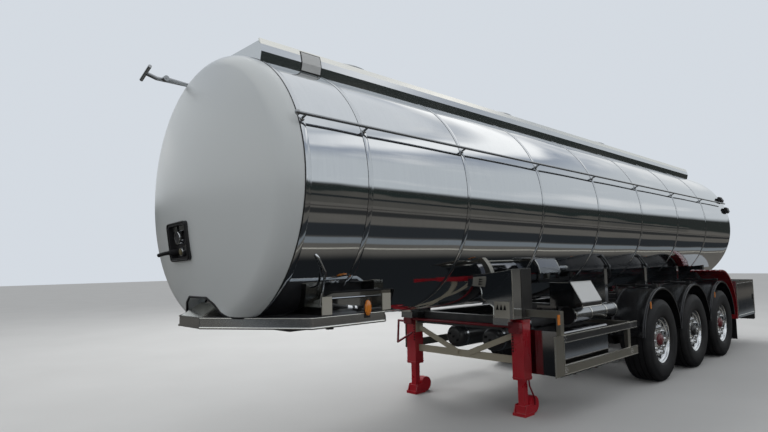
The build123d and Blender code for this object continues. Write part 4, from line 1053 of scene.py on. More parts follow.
@dataclass
class FrontCover:
    """White moulded dome with its arch, and the connector panel's fittings."""

    front: float = BAND_X + 0.03
    radius: float = 1.059
    collar: float = 0.04
    depth: float = 0.3
    knuckle: float = 0.15
    inner: Point = (0.985, 0.18, 0.12)
    inner_gap: float = 0.0005
    flat_drop: float = 0.95
    arch: Line = ((0.4, 1.2), (0.36, 0.955), (0.27, 0.915), (0.225, 0.86), (0.14, 0.812))
    arch_corner: float = 0.03
    cut_depth: float = 0.8
    cut_box: Point = (0.6, 1.2, 1.3)
    window_depth: float = 0.2
    overshoot: float = 0.1
    dome_steps: int = 160
    joint_steps: int = 144
    seal: float = 0.0095
    joint: Line = ((0.0, -0.004), (0.0, 0.003), (0.006, 0.003), (0.006, -0.004))
    joint_at: float = -0.003
    panel_at: Flat = (-0.145, -0.39)
    panel_turn: float = 2.0
    panel_size: Flat = (0.36, 0.295)
    panel_corner: float = 0.032
    panel_gap: float = 0.0006
    panel_proud: float = 0.014
    panel_depth: float = 0.08
    panel_floor: float = -0.045
    panel_lip: float = 0.024
    rim_inset: float = -0.004
    rim_radius: float = 0.007
    sockets: tuple[tuple[float, ...], ...] = (
        (0.01, 0.03, 0.05, 0.0), (0.02, -0.08, 0.032, -0.015), (-0.12, -0.075, 0.022, 0.03))
    socket_edge: float = 0.003
    socket_root: float = 0.005
    plates: tuple[tuple[float, ...], ...] = (
        (-0.085, 0.1, 0.095, 0.042), (0.055, 0.1, 0.1, 0.042), (-0.11, 0.015, 0.018, 0.08))
    plate_lift: float = 0.012
    plate_depth: float = 0.02
    rings: tuple[tuple[float, ...], ...] = (
        (0.01, 0.03, 0.052, 0.0), (0.02, -0.08, 0.034, -0.012), (0.11, -0.05, 0.02, -0.02))
    ring_crest: float = 0.004
    ring_walls: Point = (0.002, 0.008, 0.009)
    lid: Line = ((-0.014, 0.0), (-0.014, 0.024), (-0.004, 0.024), (-0.001, 0.02), (-0.001, 0.0))
    plug: Path = ((-0.12, -0.075, 0.02), (-0.124, -0.076, 0.06), (-0.142, -0.08, 0.084),
                  (-0.168, -0.084, 0.094))
    plug_radius: float = 0.015
    plug_bend: float = 0.03
    screw_ring: float = 0.04
    screw_at: float = 0.003
    screw: Flat = (0.004, 0.004)

    def crown(self) -> float:
        """Radius of the dome's crown."""
        return crown_radius(self.radius, self.depth, self.knuckle)

    def dome_x(self, y: float, drop: float) -> float:
        """X of the dome's skin at a place in its front view.

        Args:
            y: Sideways place.
            drop: Distance below the axis.

        Returns:
            X of the skin there.
        """
        reach, crown = sqrt(y * y + drop * drop), self.crown()
        base = self.front + self.collar
        if reach < crown * sin(atan2(self.radius - self.knuckle, crown - self.depth)):
            return base + self.depth - crown + sqrt(crown**2 - reach**2)
        return base + sqrt(max(0.0, self.knuckle**2 - (reach - self.radius + self.knuckle) ** 2))

    def arch_line(self) -> list[Flat]:
        """Front view of the arch from its left foot over its crown to its right foot, as (y, drop)."""
        return rounded([*self.arch, *[(-y, drop) for y, drop in reversed(self.arch)]], self.arch_corner)

    def panel_frame(self) -> Matrix:
        """Frame on the panel's face.

        Returns:
            Matrix with X across the panel, Y up it and Z out of the dome.
        """
        y, z = self.panel_at
        crown = self.crown()
        centre = Vector((self.front + self.collar + self.depth - crown, 0, TANK_AXIS_Z))
        out = Vector((sqrt(crown**2 - y * y - z * z), y, z)) / crown
        hint = Vector((0, cos(radians(self.panel_turn)), sin(radians(self.panel_turn))))
        across = (hint - out * hint.dot(out)).normalized()
        turn = Matrix((across, out.cross(across), out)).transposed().to_4x4()
        return Matrix.Translation(centre + out * (crown + self.panel_proud)) @ turn

    def panel_loop(self, grow: float, level: float = 0.0) -> list[Point]:
        """Rounded outline of the panel in its own frame.

        Args:
            grow: How far the outline stands outside the panel's own.
            level: Height over the panel's face.

        Returns:
            The outline's points.
        """
        across, tall = (size / 2 + grow for size in self.panel_size)
        corners = [(0, -tall), (across, -tall), (across, tall), (-across, tall), (-across, -tall), (0, -tall)]
        return [(x, y, level) for x, y in rounded(corners, self.panel_corner)[:-1]]

    def tray(self) -> None:
        """Moulded tray with its recess, and the sockets that stand in it."""
        floor, edge = self.panel_floor, self.socket_edge
        body = Form().plate(self.panel_loop(0.0, -self.panel_depth), (0, 0, self.panel_depth))
        recess = Form().plate(self.panel_loop(-self.panel_lip, floor), (0, 0, self.overshoot))
        root = floor - self.socket_root
        sockets = [Form().lathe([(root, 0.0), (root, radius), (top - edge, radius), (top, radius - edge),
                                 (top, 0.0)], (x, y, 0.0), UPWARD, steps=36)
                   for x, y, radius, top in self.sockets]
        for form in (body, recess, *sockets):
            bmesh.ops.transform(form.mesh, matrix=self.panel_frame(), verts=form.mesh.verts)
        carved(body, [recess], sockets).land("panel_tray", Finish.BOX, smooth=30,
                                             replaces=["connector_panel"])

    def skin(self) -> None:
        """Dome and collar, cut flat below, arched over the coupling frame and open for the panel."""
        rim, start = self.front + self.inner_gap, self.front - self.overshoot
        profile = [*reversed(dish(rim, 1, *self.inner)), (rim, self.radius),
                   *dish(self.front + self.collar, 1, self.radius, self.depth, self.knuckle, steps=20)]
        dome = Form().lathe(profile, AXIS, FORWARD, self.dome_steps)
        ahead, half, drop = self.cut_box
        flat = Form().block((start, -half, up(-drop)), (self.front + ahead, half, up(-self.flat_drop)))
        arch = Form().plate([(start, y, up(-drop)) for y, drop in self.arch_line()], (self.cut_depth, 0, 0))
        window = Form().plate(self.panel_loop(self.panel_gap, -self.panel_depth - 0.001),
                              (0, 0, self.window_depth))
        bmesh.ops.transform(window.mesh, matrix=self.panel_frame(), verts=window.mesh.verts)
        carved(dome, [flat, arch, window]).land("cover_dome", Finish.COVER, smooth=38,
                                                replaces=["front_cover"])

    def edging(self) -> None:
        """Black edging round the arch and along the dome's lower edge to the barrel."""
        arch = [(y, drop) for y, drop in self.arch_line() if drop < self.flat_drop]
        level, inner = up(-self.flat_drop), arch[0][0]
        foot = sqrt((self.radius + 0.001) ** 2 - self.flat_drop**2)
        run = [inner + (foot - inner) * t for t in (1.0, 0.75, 0.5, 0.25)]
        left = [(self.front, foot, level), (self.front + self.collar, foot, level)]
        left += [(self.dome_x(y, self.flat_drop), y, level) for y in run]
        over = [(self.dome_x(y, drop), y, up(-drop)) for y, drop in arch]
        right = [(x, -y, z) for x, y, z in reversed(left)]
        Form().tube([*left, *over, *right], self.seal, steps=8).land("arch_seal", Finish.SEAL, smooth=60)
        ring = Form().lathe([(along, self.radius + lift) for along, lift in self.joint],
                            (self.front + self.joint_at, 0, TANK_AXIS_Z), FORWARD, self.joint_steps)
        for vert in ring.mesh.verts:
            vert.co.z = max(vert.co.z, level)
        ring.land("cover_joint", Finish.SEAL)

    def fittings(self) -> None:
        """Rim, plates, socket rings, blind cap, plug and screws in the connector panel."""
        place = self.panel_frame()
        turn, floor = place.to_3x3(), self.panel_floor
        out, loop = turn.col[2], self.panel_loop(self.rim_inset)
        Form().tube([place @ Vector(p) for p in (*loop, loop[0])], self.rim_radius, steps=8).land(
            "panel_rim", Finish.SEAL, smooth=60)
        plates, rings = Form(), Form()
        for x, y, wide, tall in self.plates:
            plates.slab(place @ Vector((x, y, floor + self.plate_lift)), (wide, tall, self.plate_depth), turn,
                        self.socket_edge)
        plates.land("panel_plates", Finish.RAIL)
        for x, y, radius, lift in self.rings:
            crest, (outer, inner, foot) = lift + self.ring_crest, (radius - cut for cut in self.ring_walls)
            section = [(floor, radius), (lift, radius), (crest, outer), (crest, inner), (floor, foot)]
            rings.lathe(section, place @ Vector((x, y, 0)), out, steps=32)
        rings.land("panel_rings", Finish.FITTING)
        Form().lathe(self.lid, place @ Vector((*self.sockets[1][:2], 0)), out, steps=24).land(
            "panel_socket_cap", Finish.OLIVE)
        plug = rounded([place @ Vector(p) for p in self.plug], self.plug_bend)
        Form().tube(plug, self.plug_radius, steps=14).land("panel_plug", Finish.SEAL, smooth=60)
        ring_of("panel_screws", 6, self.screw_ring, self.screw, 8,
                place @ Matrix.Translation((*self.sockets[0][:2], self.screw_at)), Finish.FITTING)

    def build(self) -> None:
        """Make the cover, its seals and the panel's fittings."""
        self.skin()
        self.tray()
        self.edging()
        self.fittings()


@dataclass
class Walkway:
    """Coffer walls with their folds, deck ribs, bare plate, manhole clamps and shoulder lamps."""

    wall: Line = ((0.474, 0.894), (0.501, 1.012), (0.489, 1.072))
    lip: Line = ((0.489, 1.072), (0.473, 1.12), (0.46, 1.12), (0.46, 1.104))
    bead: Point = (0.482, 0.894, 0.007)
    nose: float = 0.022
    tail: float = BAND_X - 9.65 + 0.35
    sheet: float = 0.006
    labels: tuple[tuple[str, Finish, Flat, Flat, float], ...] = (
        ("label_frame", Finish.BLACK, (0.34, 0.54), (0.944, 1.11), 0.002),
        ("label_plate", Finish.WHITE, (0.349, 0.531), (0.953, 1.102), 0.0045))
    label_sink: float = 0.001
    deck_rise: float = 1.088
    rib_pitch: float = 0.11
    rib: Point = (0.02, 0.8, 0.006)
    rib_lift: float = 0.002
    end_clear: float = 0.08
    manholes: tuple[float, ...] = (1.145, 3.615, 6.225)
    manhole_clear: float = 0.34
    clamp_rise: float = 1.16
    clamp_ring: float = 0.259
    clamp: Flat = (0.013, 0.075)
    clamp_turn: float = 20.0
    lamp_spots: Line = ((9.57, 0.5), (9.585, 0.3))
    lamp_lift: float = 0.025
    lamp_size: Point = (0.15, 0.11, 0.06)
    lamp_bevel: float = 0.016

    def walls(self) -> None:
        """Two folded walls with rolled lips, and the end sheets."""
        start, length = self.tail, back(-self.nose) - self.tail
        side_y, rise, radius = self.bead
        form, lips = Form(), Form()
        for side in SIDES.values():
            outer = [(start, side * y, up(z)) for y, z in self.wall]
            inner = [(start, side * (y - self.sheet), up(z)) for y, z in reversed(self.wall)]
            form.plate([*outer, *inner], (length, 0, 0))
            lips.plate([(start, side * y, up(z)) for y, z in self.lip], (length, 0, 0))
        lips.tubes([(start, side_y, up(rise)), (start + length, side_y, up(rise))], radius)
        inside = [(y - self.sheet, z) for y, z in self.wall] + [self.lip[-1]]
        inside += [(-y, z) for y, z in reversed(inside)]
        for x in (start, start + length - self.sheet):
            form.plate([(x, y, up(z)) for y, z in inside], (self.sheet, 0, 0))
        form.land("coffer_walls", Finish.SHEET, smooth=10, replaces=["coffer"])
        # The lips carry the paler steel: painted highlight along the coffer's top edge.
        lips.land("coffer_lips", Finish.HIGHLIGHT_STEEL, smooth=30)

    def label(self) -> None:
        """Bare plate bent over the front of the left wall, in a dark frame."""
        wall = [*self.wall, self.lip[1]]
        for name, finish, (near, far), (foot, top), lift in self.labels:
            line = []
            for level in (foot, self.wall[1][1], self.wall[2][1], top):
                (y0, z0), (y1, z1) = next((low, high) for low, high in zip(wall, wall[1:])
                                          if low[1] <= level <= high[1])
                line.append((y0 + (y1 - y0) * (level - z0) / (z1 - z0) + lift, level))
            outer = [(far, y, z) for y, z in line]
            inner = [(far, y - lift - self.label_sink, z) for y, z in reversed(line)]
            Form().plate(placed([*outer, *inner]), (far - near, 0, 0)).land(name, finish, smooth=10)

    def ribs(self) -> None:
        """Cross ribs of the deck between the manholes."""
        edges = [self.end_clear - self.nose]
        for manhole in self.manholes:
            edges += [manhole - self.manhole_clear, manhole + self.manhole_clear]
        edges.append(BAND_X - self.tail - self.end_clear)
        for number, (near, far) in enumerate(zip(edges[::2], edges[1::2]), 1):
            row_of(f"deck_ribs_{number}", int((far - near) / self.rib_pitch),
                   at(near, 0.0, self.deck_rise + self.rib_lift), (-self.rib_pitch, 0.0, 0.0), self.rib,
                   Finish.DECK)

    def clamps(self) -> None:
        """Clamps round each manhole neck."""
        turn = Matrix.Rotation(radians(self.clamp_turn), 4, "Z")
        for number, manhole in enumerate(self.manholes, 1):
            ring_of(f"manhole_clamps_{number}", 9, self.clamp_ring, self.clamp, 8,
                    Matrix.Translation(at(manhole, 0, self.clamp_rise)) @ turn, Finish.FITTING)

    def lamps(self) -> None:
        """Rubber housed lamps on the barrel's rear shoulder."""
        ahead = Vector(FORWARD)
        for name, side in SIDES.items():
            for number, (distance, rise) in enumerate(self.lamp_spots, 1):
                normal = Vector((0, side * sqrt(1 - (rise / TANK_RADIUS) ** 2), rise / TANK_RADIUS))
                turn = Matrix((ahead, normal.cross(ahead), normal)).transposed()
                place = Vector(at(distance, 0, 0)) + normal * (TANK_RADIUS + self.lamp_lift)
                Form().slab(place, self.lamp_size, turn, self.lamp_bevel).land(
                    f"shoulder_lamp_{name}_{number}", Finish.SEAL)

    def build(self) -> None:
        """Make every piece of the walkway."""
        self.walls()
        self.label()
        self.ribs()
        self.clamps()
        self.lamps()


@dataclass
class Coupling:
    """Fittings of the coupling frame: a top sheet of painted shade, wedge, flanges, air pipe, marker lamps and
    saddle plates.
    """

    nose: float = highest("coupling_frame", 0)
    half: float = highest("coupling_frame", 1)
    top_drop: float = 0.95
    foot_drop: float = 1.03
    side: Flat = (0.17, 0.87)
    tail_spot: Flat = (1.2, 0.51)
    nose_half: float = 0.17
    corner: float = 0.03
    seat: float = 0.0005
    wedge_half: Flat = (0.16, 0.15)
    wedge_top: float = -0.838
    wedge_rear: float = -0.11
    wedge_inset: float = 0.012
    flanges: Line = ((0.007, 0.009), (0.076, 0.004))
    pipe: Path = ((0.4, 0.775, -0.872), (0.45, 0.79, -0.885), (0.7, 0.79, -0.93),
                  (0.9, 0.78, -0.93))
    pipe_radius: float = 0.01
    unions: Path = ((-0.9, 0.019, 0.05), (-0.912, 0.023, 0.03))
    union_backs: Flat = (0.535, 0.6)
    union_way: Point = (-1.0, 0.0, -0.18)
    union_edge: float = 0.003
    valve_at: Point = (0.655, 0.79, -0.921)
    valve_size: Point = (0.045, 0.036, 0.04)
    marker_at: Point = (0.683, 0.862, -0.912)
    marker_half: float = 0.03
    marker_reach: Flat = (-0.075, 0.066)
    marker_sheet: Flat = (-0.01, -0.002)
    lens: Line = ((0.0, 0.0), (0.0, 0.028), (0.014, 0.027), (0.022, 0.02), (0.025, 0.0))
    lens_stretch: float = 2.1
    saddles: Flat = (0.35, 0.95)
    saddle_plate: tuple[Point, Point] = ((0.046, 0.7905, -0.946), (-0.046, 0.796, -0.815))
    shade_outline: Line = ((-0.29, 0.15), (0.175, 0.825), (0.86, 0.825), (1.17, 0.5))
    shade_depth: float = 0.0015
    inner_backs: Flat = (0.9, 0.4)
    inner_y: Point = (0.655, 0.661, 0.663)
    inner_rises: Flat = (-0.69, -0.84)
    inner_bead: float = 0.008

    def wedge(self) -> None:
        """Folded guide plate from the frame's nose up under the dome's arch."""
        low, top = up(self.seat - self.top_drop), up(self.wedge_top)
        front, rear = self.nose - self.wedge_inset, back(self.wedge_rear)
        ahead, behind = self.wedge_half
        section = [(front, -ahead, low), (rear, -behind, top), (rear, -behind, low)]
        Form().plate(section, (0.0, ahead + behind, 0.0)).land("nose_wedge", Finish.HIGHLIGHT_STEEL, smooth=20)

    def edges(self) -> None:
        """Rounded flanges along the frame's lower and upper edges, in the paler steel of painted highlight."""
        form = Form()
        outline = [(self.nose, self.nose_half), *[(back(b), self.half) for b in self.side],
                   (back(self.tail_spot[0]), self.tail_spot[1])]
        for lift, radius in self.flanges:
            form.tubes([(x, y, up(lift - self.foot_drop)) for x, y in rounded(outline, self.corner)], radius)
        form.land("frame_edges", Finish.HIGHLIGHT_STEEL, smooth=60)

    def pipes(self) -> None:
        """Air pipe with its unions and valve over the frame's left side, fixed to the saddles."""
        Form().tube(rounded(placed(self.pipe), self.corner), self.pipe_radius, steps=10).land(
            "air_pipe", Finish.BLACK, smooth=60)
        form = Form()
        for distance, (rise, radius, length) in zip(self.union_backs, self.unions):
            edge, bore = self.union_edge, self.pipe_radius
            form.lathe([(0, bore), (edge, radius), (length - edge, radius), (length, bore)],
                       at(distance, self.valve_at[1], rise), self.union_way, steps=6)
        form.land("pipe_unions", Finish.FITTING)
        Form().slab(at(*self.valve_at), self.valve_size, Matrix.Identity(3), bevel=0.006).land(
            "pipe_valve", Finish.BLACK)

    def markers(self) -> None:
        """Oval amber lamps on brackets at the frame's sides."""
        half, (low, top) = self.marker_half, self.marker_reach
        for name, side in SIDES.items():
            x, y, z = placed([self.marker_at], side)[0]
            near, far = (y + side * lift for lift in self.marker_sheet)
            bracket = Form().block((x - half, near, z + low), (x + half, far, z + top), bevel=0.001)
            bracket.land(f"marker_bracket_{name}", Finish.BLACK)
            lens = Form().lathe(self.lens, (x, y, z), (0, side, 0), steps=28)
            for vert in lens.mesh.verts:
                vert.co.z = z + (vert.co.z - z) * self.lens_stretch
            lens.land(f"marker_lens_{name}", Finish.AMBER, smooth=60)

    def saddle_plates(self) -> None:
        """Pale doubler plates on the saddles' outer ends."""
        form = Form()
        for distance in self.saddles:
            low, high = (at(distance + a, y, rise) for a, y, rise in self.saddle_plate)
            form.blocks(low, high, bevel=0.0015)
        form.land("saddle_plates", Finish.PALE)

    def top_shade_sheet(self) -> None:
        """Dark sheet over the frame's top: painted shade where the tank's recess shades the frame."""
        outline = [*self.shade_outline, *[(distance, -y) for distance, y in reversed(self.shade_outline)]]
        Form().plate([at(a, b, 0.0004 - self.top_drop) for a, b in outline], (0, 0, self.shade_depth)).land(
            "frame_top_painted_shade", Finish.BOX, smooth=10)

    def inner_sheets(self) -> None:
        """Polished sheets between the front saddles, from the frame up to the inner vessel."""
        rear, front = self.inner_backs
        near, far, bead = self.inner_y
        top, line = self.inner_rises
        form = Form().blocks(at(rear, near, self.seat - self.top_drop), at(front, far, top), bevel=0.001)
        form.tubes([at(rear, bead, line), at(front, bead, line)], self.inner_bead)
        form.land("inner_sheets", Finish.SHEET)

    def build(self) -> None:
        """Make the coupling's fittings."""
        self.top_shade_sheet()
        self.inner_sheets()
        self.wedge()
        self.edges()
        self.pipes()
        self.markers()
        self.saddle_plates()


@dataclass
class Legs:
    """Fittings of the landing legs and of the saddle over them."""

    spot: Point = centre_of("leg_outers")
    side_at: float = 0.755
    half: float = 0.07
    top_drop: float = 1.18
    cap_half: float = 0.078
    cap_height: float = 0.012
    head: tuple[tuple[Point, Point], ...] = (((-0.05, -0.06, -1.1675), (0.072, -0.054, -1.098)),
                                             ((-0.05, 0.054, -1.1675), (0.072, 0.06, -1.098)),
                                             ((0.06, -0.054, -1.16), (0.067, 0.054, -1.105)))
    holes: int = 7
    hole_y: float = 0.7
    hole_top: float = -1.33
    hole_pitch: float = 0.03
    hole_shade: Line = ((0.0, 0.0), (0.0, 0.011), (0.0012, 0.011), (0.0012, 0.0))
    hole_shade_lift: float = 0.0004
    bolt_ring: float = 0.052
    bolt: Flat = (0.01, 0.01)
    bolt_ahead: float = 0.061
    bolt_drop: float = 0.083
    rod: Path = ((-0.02, 0.062, 0.37), (-0.03, 0.062, 0.3), (-0.13, 0.06, 0.15),
                 (-0.14, 0.052, 0.09))
    rod_radius: float = 0.009
    rod_bend: float = 0.04
    cheek: Line = ((0.075, 0.031), (0.045, 0.11), (-0.06, 0.11), (-0.165, 0.065), (-0.15, 0.031))
    cheek_edges: Flat = (-0.0705, 0.0625)
    cheek_width: float = 0.008
    weld_rises: Flat = (-1.776, -1.196)
    weld_half: float = 0.0715
    weld_radius: float = 0.004
    saddle_front: float = 2.7
    plate: tuple[Point, Point] = ((-0.0005, 0.6, -1.16), (-0.005, 0.785, -0.99))
    louvre_y: Point = (0.64, 0.685, 0.73)
    louvre: Line = ((-0.016, -1.075), (0.016, -1.075), (0.004, -1.02))
    louvre_depth: float = 0.006
    louvre_ahead: float = 0.005
    rims: tuple[Path, ...] = (((-0.003, 0.444, -0.962), (-0.003, 0.59, -1.05), (-0.003, 0.59, -1.16)),
                              ((-0.003, 0.822, -0.66), (-0.003, 0.828, -1.16)))
    rim_radius: float = 0.006
    side_plate: tuple[Point, Point] = ((3.049, 0.8305, -1.16), (2.85, 0.833, -0.66))

    def top(self, name: str, x: float, y: float) -> None:
        """Cap, head bracket and bolts at the top of one leg.

        Args:
            name: Which leg, for the pieces' names.
            x: The leg's place along the trailer.
            y: The leg's place across it.
        """
        half, foot = self.cap_half, up(-self.top_drop)
        cap = Form().block((x - half, y - half, foot), (x + half, y + half, foot + self.cap_height), bevel=0.002)
        cap.land(f"leg_cap_{name}", Finish.BLACK)
        head = Form()
        for (x0, y0, low), (x1, y1, high) in self.head:
            head.block((x + x0, y + y0, up(low)), (x + x1, y + y1, up(high)), bevel=0.001)
        head.land(f"leg_head_{name}", Finish.PALE)
        ring_of(f"leg_bolts_{name}", 4, self.bolt_ring, self.bolt, 6,
                Matrix.Translation((x + self.half + self.bolt_ahead, y, foot - self.bolt_drop))
                @ Matrix.Rotation(pi / 2, 4, "Y"), Finish.DARK_RED)

    def leg(self, name: str, side: int) -> None:
        """Discs of painted shade in the holes, the spring rod, foot cheeks and welds of one leg.

        Args:
            name: Which leg, for the pieces' names.
            side: 1 on the left, -1 on the right.
        """
        x, y = self.spot[0], side * self.side_at
        self.top(name, x, y)
        holes, cheeks, welds = Form(), Form(), Form()
        # Flat black discs stand in for the leg's holes: painted shade of the tube's dark inside.
        for number in range(self.holes):
            holes.lathe(self.hole_shade, (x + self.half + self.hole_shade_lift, side * self.hole_y,
                                    up(self.hole_top - self.hole_pitch * number)), FORWARD, steps=14)
        holes.land(f"leg_hole_shades_{name}", Finish.SEAL)
        rod = [(x + a, y + side * b, z) for a, b, z in self.rod]
        Form().tube(rounded(rod, self.rod_bend), self.rod_radius, steps=10).land(
            f"leg_spring_rod_{name}", Finish.DARK_RED, smooth=60)
        for edge in self.cheek_edges:
            cheeks.plate([(x + a, y + edge, z) for a, z in self.cheek], (0, self.cheek_width, 0))
        cheeks.land(f"foot_cheeks_{name}", Finish.RED, smooth=20)
        for rise in self.weld_rises:
            welds.tube([(x + a * self.weld_half, y + b * self.weld_half, up(rise)) for a, b in
                        ((1, 1), (-1, 1), (-1, -1), (1, -1), (1, 1))], self.weld_radius, steps=6)
        welds.land(f"leg_welds_{name}", Finish.RED, smooth=60)

    def saddle(self) -> None:
        """Pale louvred plates on the saddle's front with black triangles of painted shade in the louvres, its
        folded rims and its dark side plates.
        """
        ahead = self.saddle_front
        low, high = (at(ahead + a, y, z) for a, y, z in self.plate)
        louvre_shades, rims = Form(), Form()
        for side in SIDES.values():
            for middle in self.louvre_y:
                outline = [at(ahead - self.louvre_ahead, side * (middle + y), rise) for y, rise in self.louvre]
                louvre_shades.plate(outline, (self.louvre_depth, 0, 0))
        for path in self.rims:
            rims.tubes([at(ahead + a, y, z) for a, y, z in path], self.rim_radius)
        side_plates = Form().blocks(*placed(self.side_plate), bevel=0.001)
        side_plates.land("saddle_side_plates", Finish.BLACK)
        Form().blocks(low, high, bevel=0.001).land("saddle_louvre_plates", Finish.PALE)
        # Black triangles stand in for the louvre openings: painted shade.
        louvre_shades.land("saddle_louvres", Finish.SEAL)
        rims.land("saddle_rims", Finish.HIGHLIGHT_STEEL, smooth=60)

    def build(self) -> None:
        """Fit out both legs and the saddle."""
        for name, side in SIDES.items():
            self.leg(name, side)
        self.saddle()


@dataclass
class Wheels:
    """Tyres and rims on the six wheel bodies."""

    half: float = 0.188
    radius: float = 0.53
    bead: float = 0.298
    grooves: tuple[float, ...] = (0.105, 0.038, -0.038, -0.105)
    groove: Line = ((0.007, -0.001), (0.005, -0.012), (-0.005, -0.012), (-0.007, -0.001))
    wall: Line = ((-0.035, -0.006), (-0.022, 0.004), (-0.012, 0.03), (-0.004, 0.07), (0.0, 0.115),
                  (-0.003, 0.15), (-0.006, 0.153), (-0.006, 0.163), (-0.01, 0.168))
    shoulder: Line = ((-0.022, -0.03), (-0.034, -0.012), (-0.048, -0.004))
    flange: Line = ((-0.145, 0.012), (-0.15, 0.01), (-0.152, -0.01), (-0.135, -0.02), (-0.05, -0.03),
                    (0.06, -0.034), (0.1, -0.026), (0.14, -0.016), (0.15, -0.004), (0.152, 0.01),
                    (0.146, 0.014), (0.139, 0.004), (0.13, -0.012), (0.118, -0.024), (0.11, -0.034),
                    (0.106, -0.046), (0.107, -0.058), (0.113, -0.07), (0.117, -0.084))
    disc: Line = ((0.117, 0.196), (0.112, 0.188), (0.11, 0.146), (0.113, 0.122), (0.117, 0.112),
                  (0.118, 0.104), (0.119, 0.0))
    count: int = 10
    nut_ring: float = 0.1675
    nut: Flat = (0.0155, 0.03)
    nut_at: float = 0.1245
    hole_shade_ring: float = 0.2165
    hole_shade: Flat = (0.0265, 0.01)
    hole_shade_at: float = 0.1145
    cap: Line = ((0.116, 0.086), (0.126, 0.085), (0.129, 0.074), (0.144, 0.07), (0.151, 0.062),
                 (0.155, 0.034), (0.159, 0.03), (0.16, 0.0))
    caps: tuple[Finish, ...] = (Finish.CAP_RED, Finish.BLACK, Finish.CAP_RED)
    stem: Path = ((0.15, 0.165, 0.112), (0.158, 0.174, 0.125), (0.166, 0.183, 0.136))
    stem_radius: float = 0.005

    def tyre_profile(self) -> list[Flat]:
        """Section of the tyre from one bead round the tread to the other, as (across, radius) points."""
        side = [(self.half + a, self.bead + b) for a, b in self.wall]
        side += [(self.half + a, self.radius + b) for a, b in self.shoulder]
        tread = [(middle + a, self.radius + b) for middle in self.grooves for a, b in self.groove]
        return side + tread + [(-a, b) for a, b in reversed(side)]

    def rim_profile(self) -> list[Flat]:
        """Section of the wheel from its inner flange over the well to the outer flange and disc."""
        return [(a, self.bead + b) for a, b in self.flange] + list(self.disc)

    def wheel(self, number: int, name: str, side: int) -> None:
        """Tyre, rim, nuts, black discs of painted shade in the hand holes, valve and hub cap of one wheel.

        Args:
            number: Axle, from the front.
            name: Side's name.
            side: 1 on the left, -1 on the right.
        """
        end = f"{name}_{number}"
        body, centre, out = f"wheel_{end}", centre_of(f"tyre_{end}"), (0, side, 0)
        place = Matrix.Translation(centre) @ Matrix.Rotation(-side * pi / 2, 4, "X")
        half_step = Matrix.Rotation(pi / self.count, 4, "Z")
        Form().lathe(self.tyre_profile(), centre, out, steps=72).land(
            f"tyre_{end}_skin", Finish.TYRE, body, 35, [f"tyre_{end}"])
        Form().lathe(self.rim_profile(), centre, out, steps=60).land(
            f"rim_{end}_skin", Finish.RIM, body, 35, [f"rim_{end}"])
        ring_of(f"nuts_{end}", self.count, self.nut_ring, self.nut, 6,
                place @ Matrix.Translation((0, 0, self.nut_at)), Finish.NUT, body)
        # Black cylinders stand in for the hand holes: painted shade where the dark drum behind would show.
        ring_of(f"holes_{end}", self.count, self.hole_shade_ring, self.hole_shade, 18,
                place @ Matrix.Translation((0, 0, self.hole_shade_at)) @ half_step, Finish.SEAL, body)
        Form().lathe(self.cap, centre, out, steps=32).land(f"cap_{end}", self.caps[number - 1], body)
        Form().tube([place @ Vector(p) for p in self.stem], self.stem_radius, steps=8).land(
            f"valve_stem_{end}", Finish.NUT, body)

    def build(self) -> None:
        """Make all six wheels."""
        for number in AXLES:
            for name, side in SIDES.items():
                self.wheel(number, name, side)


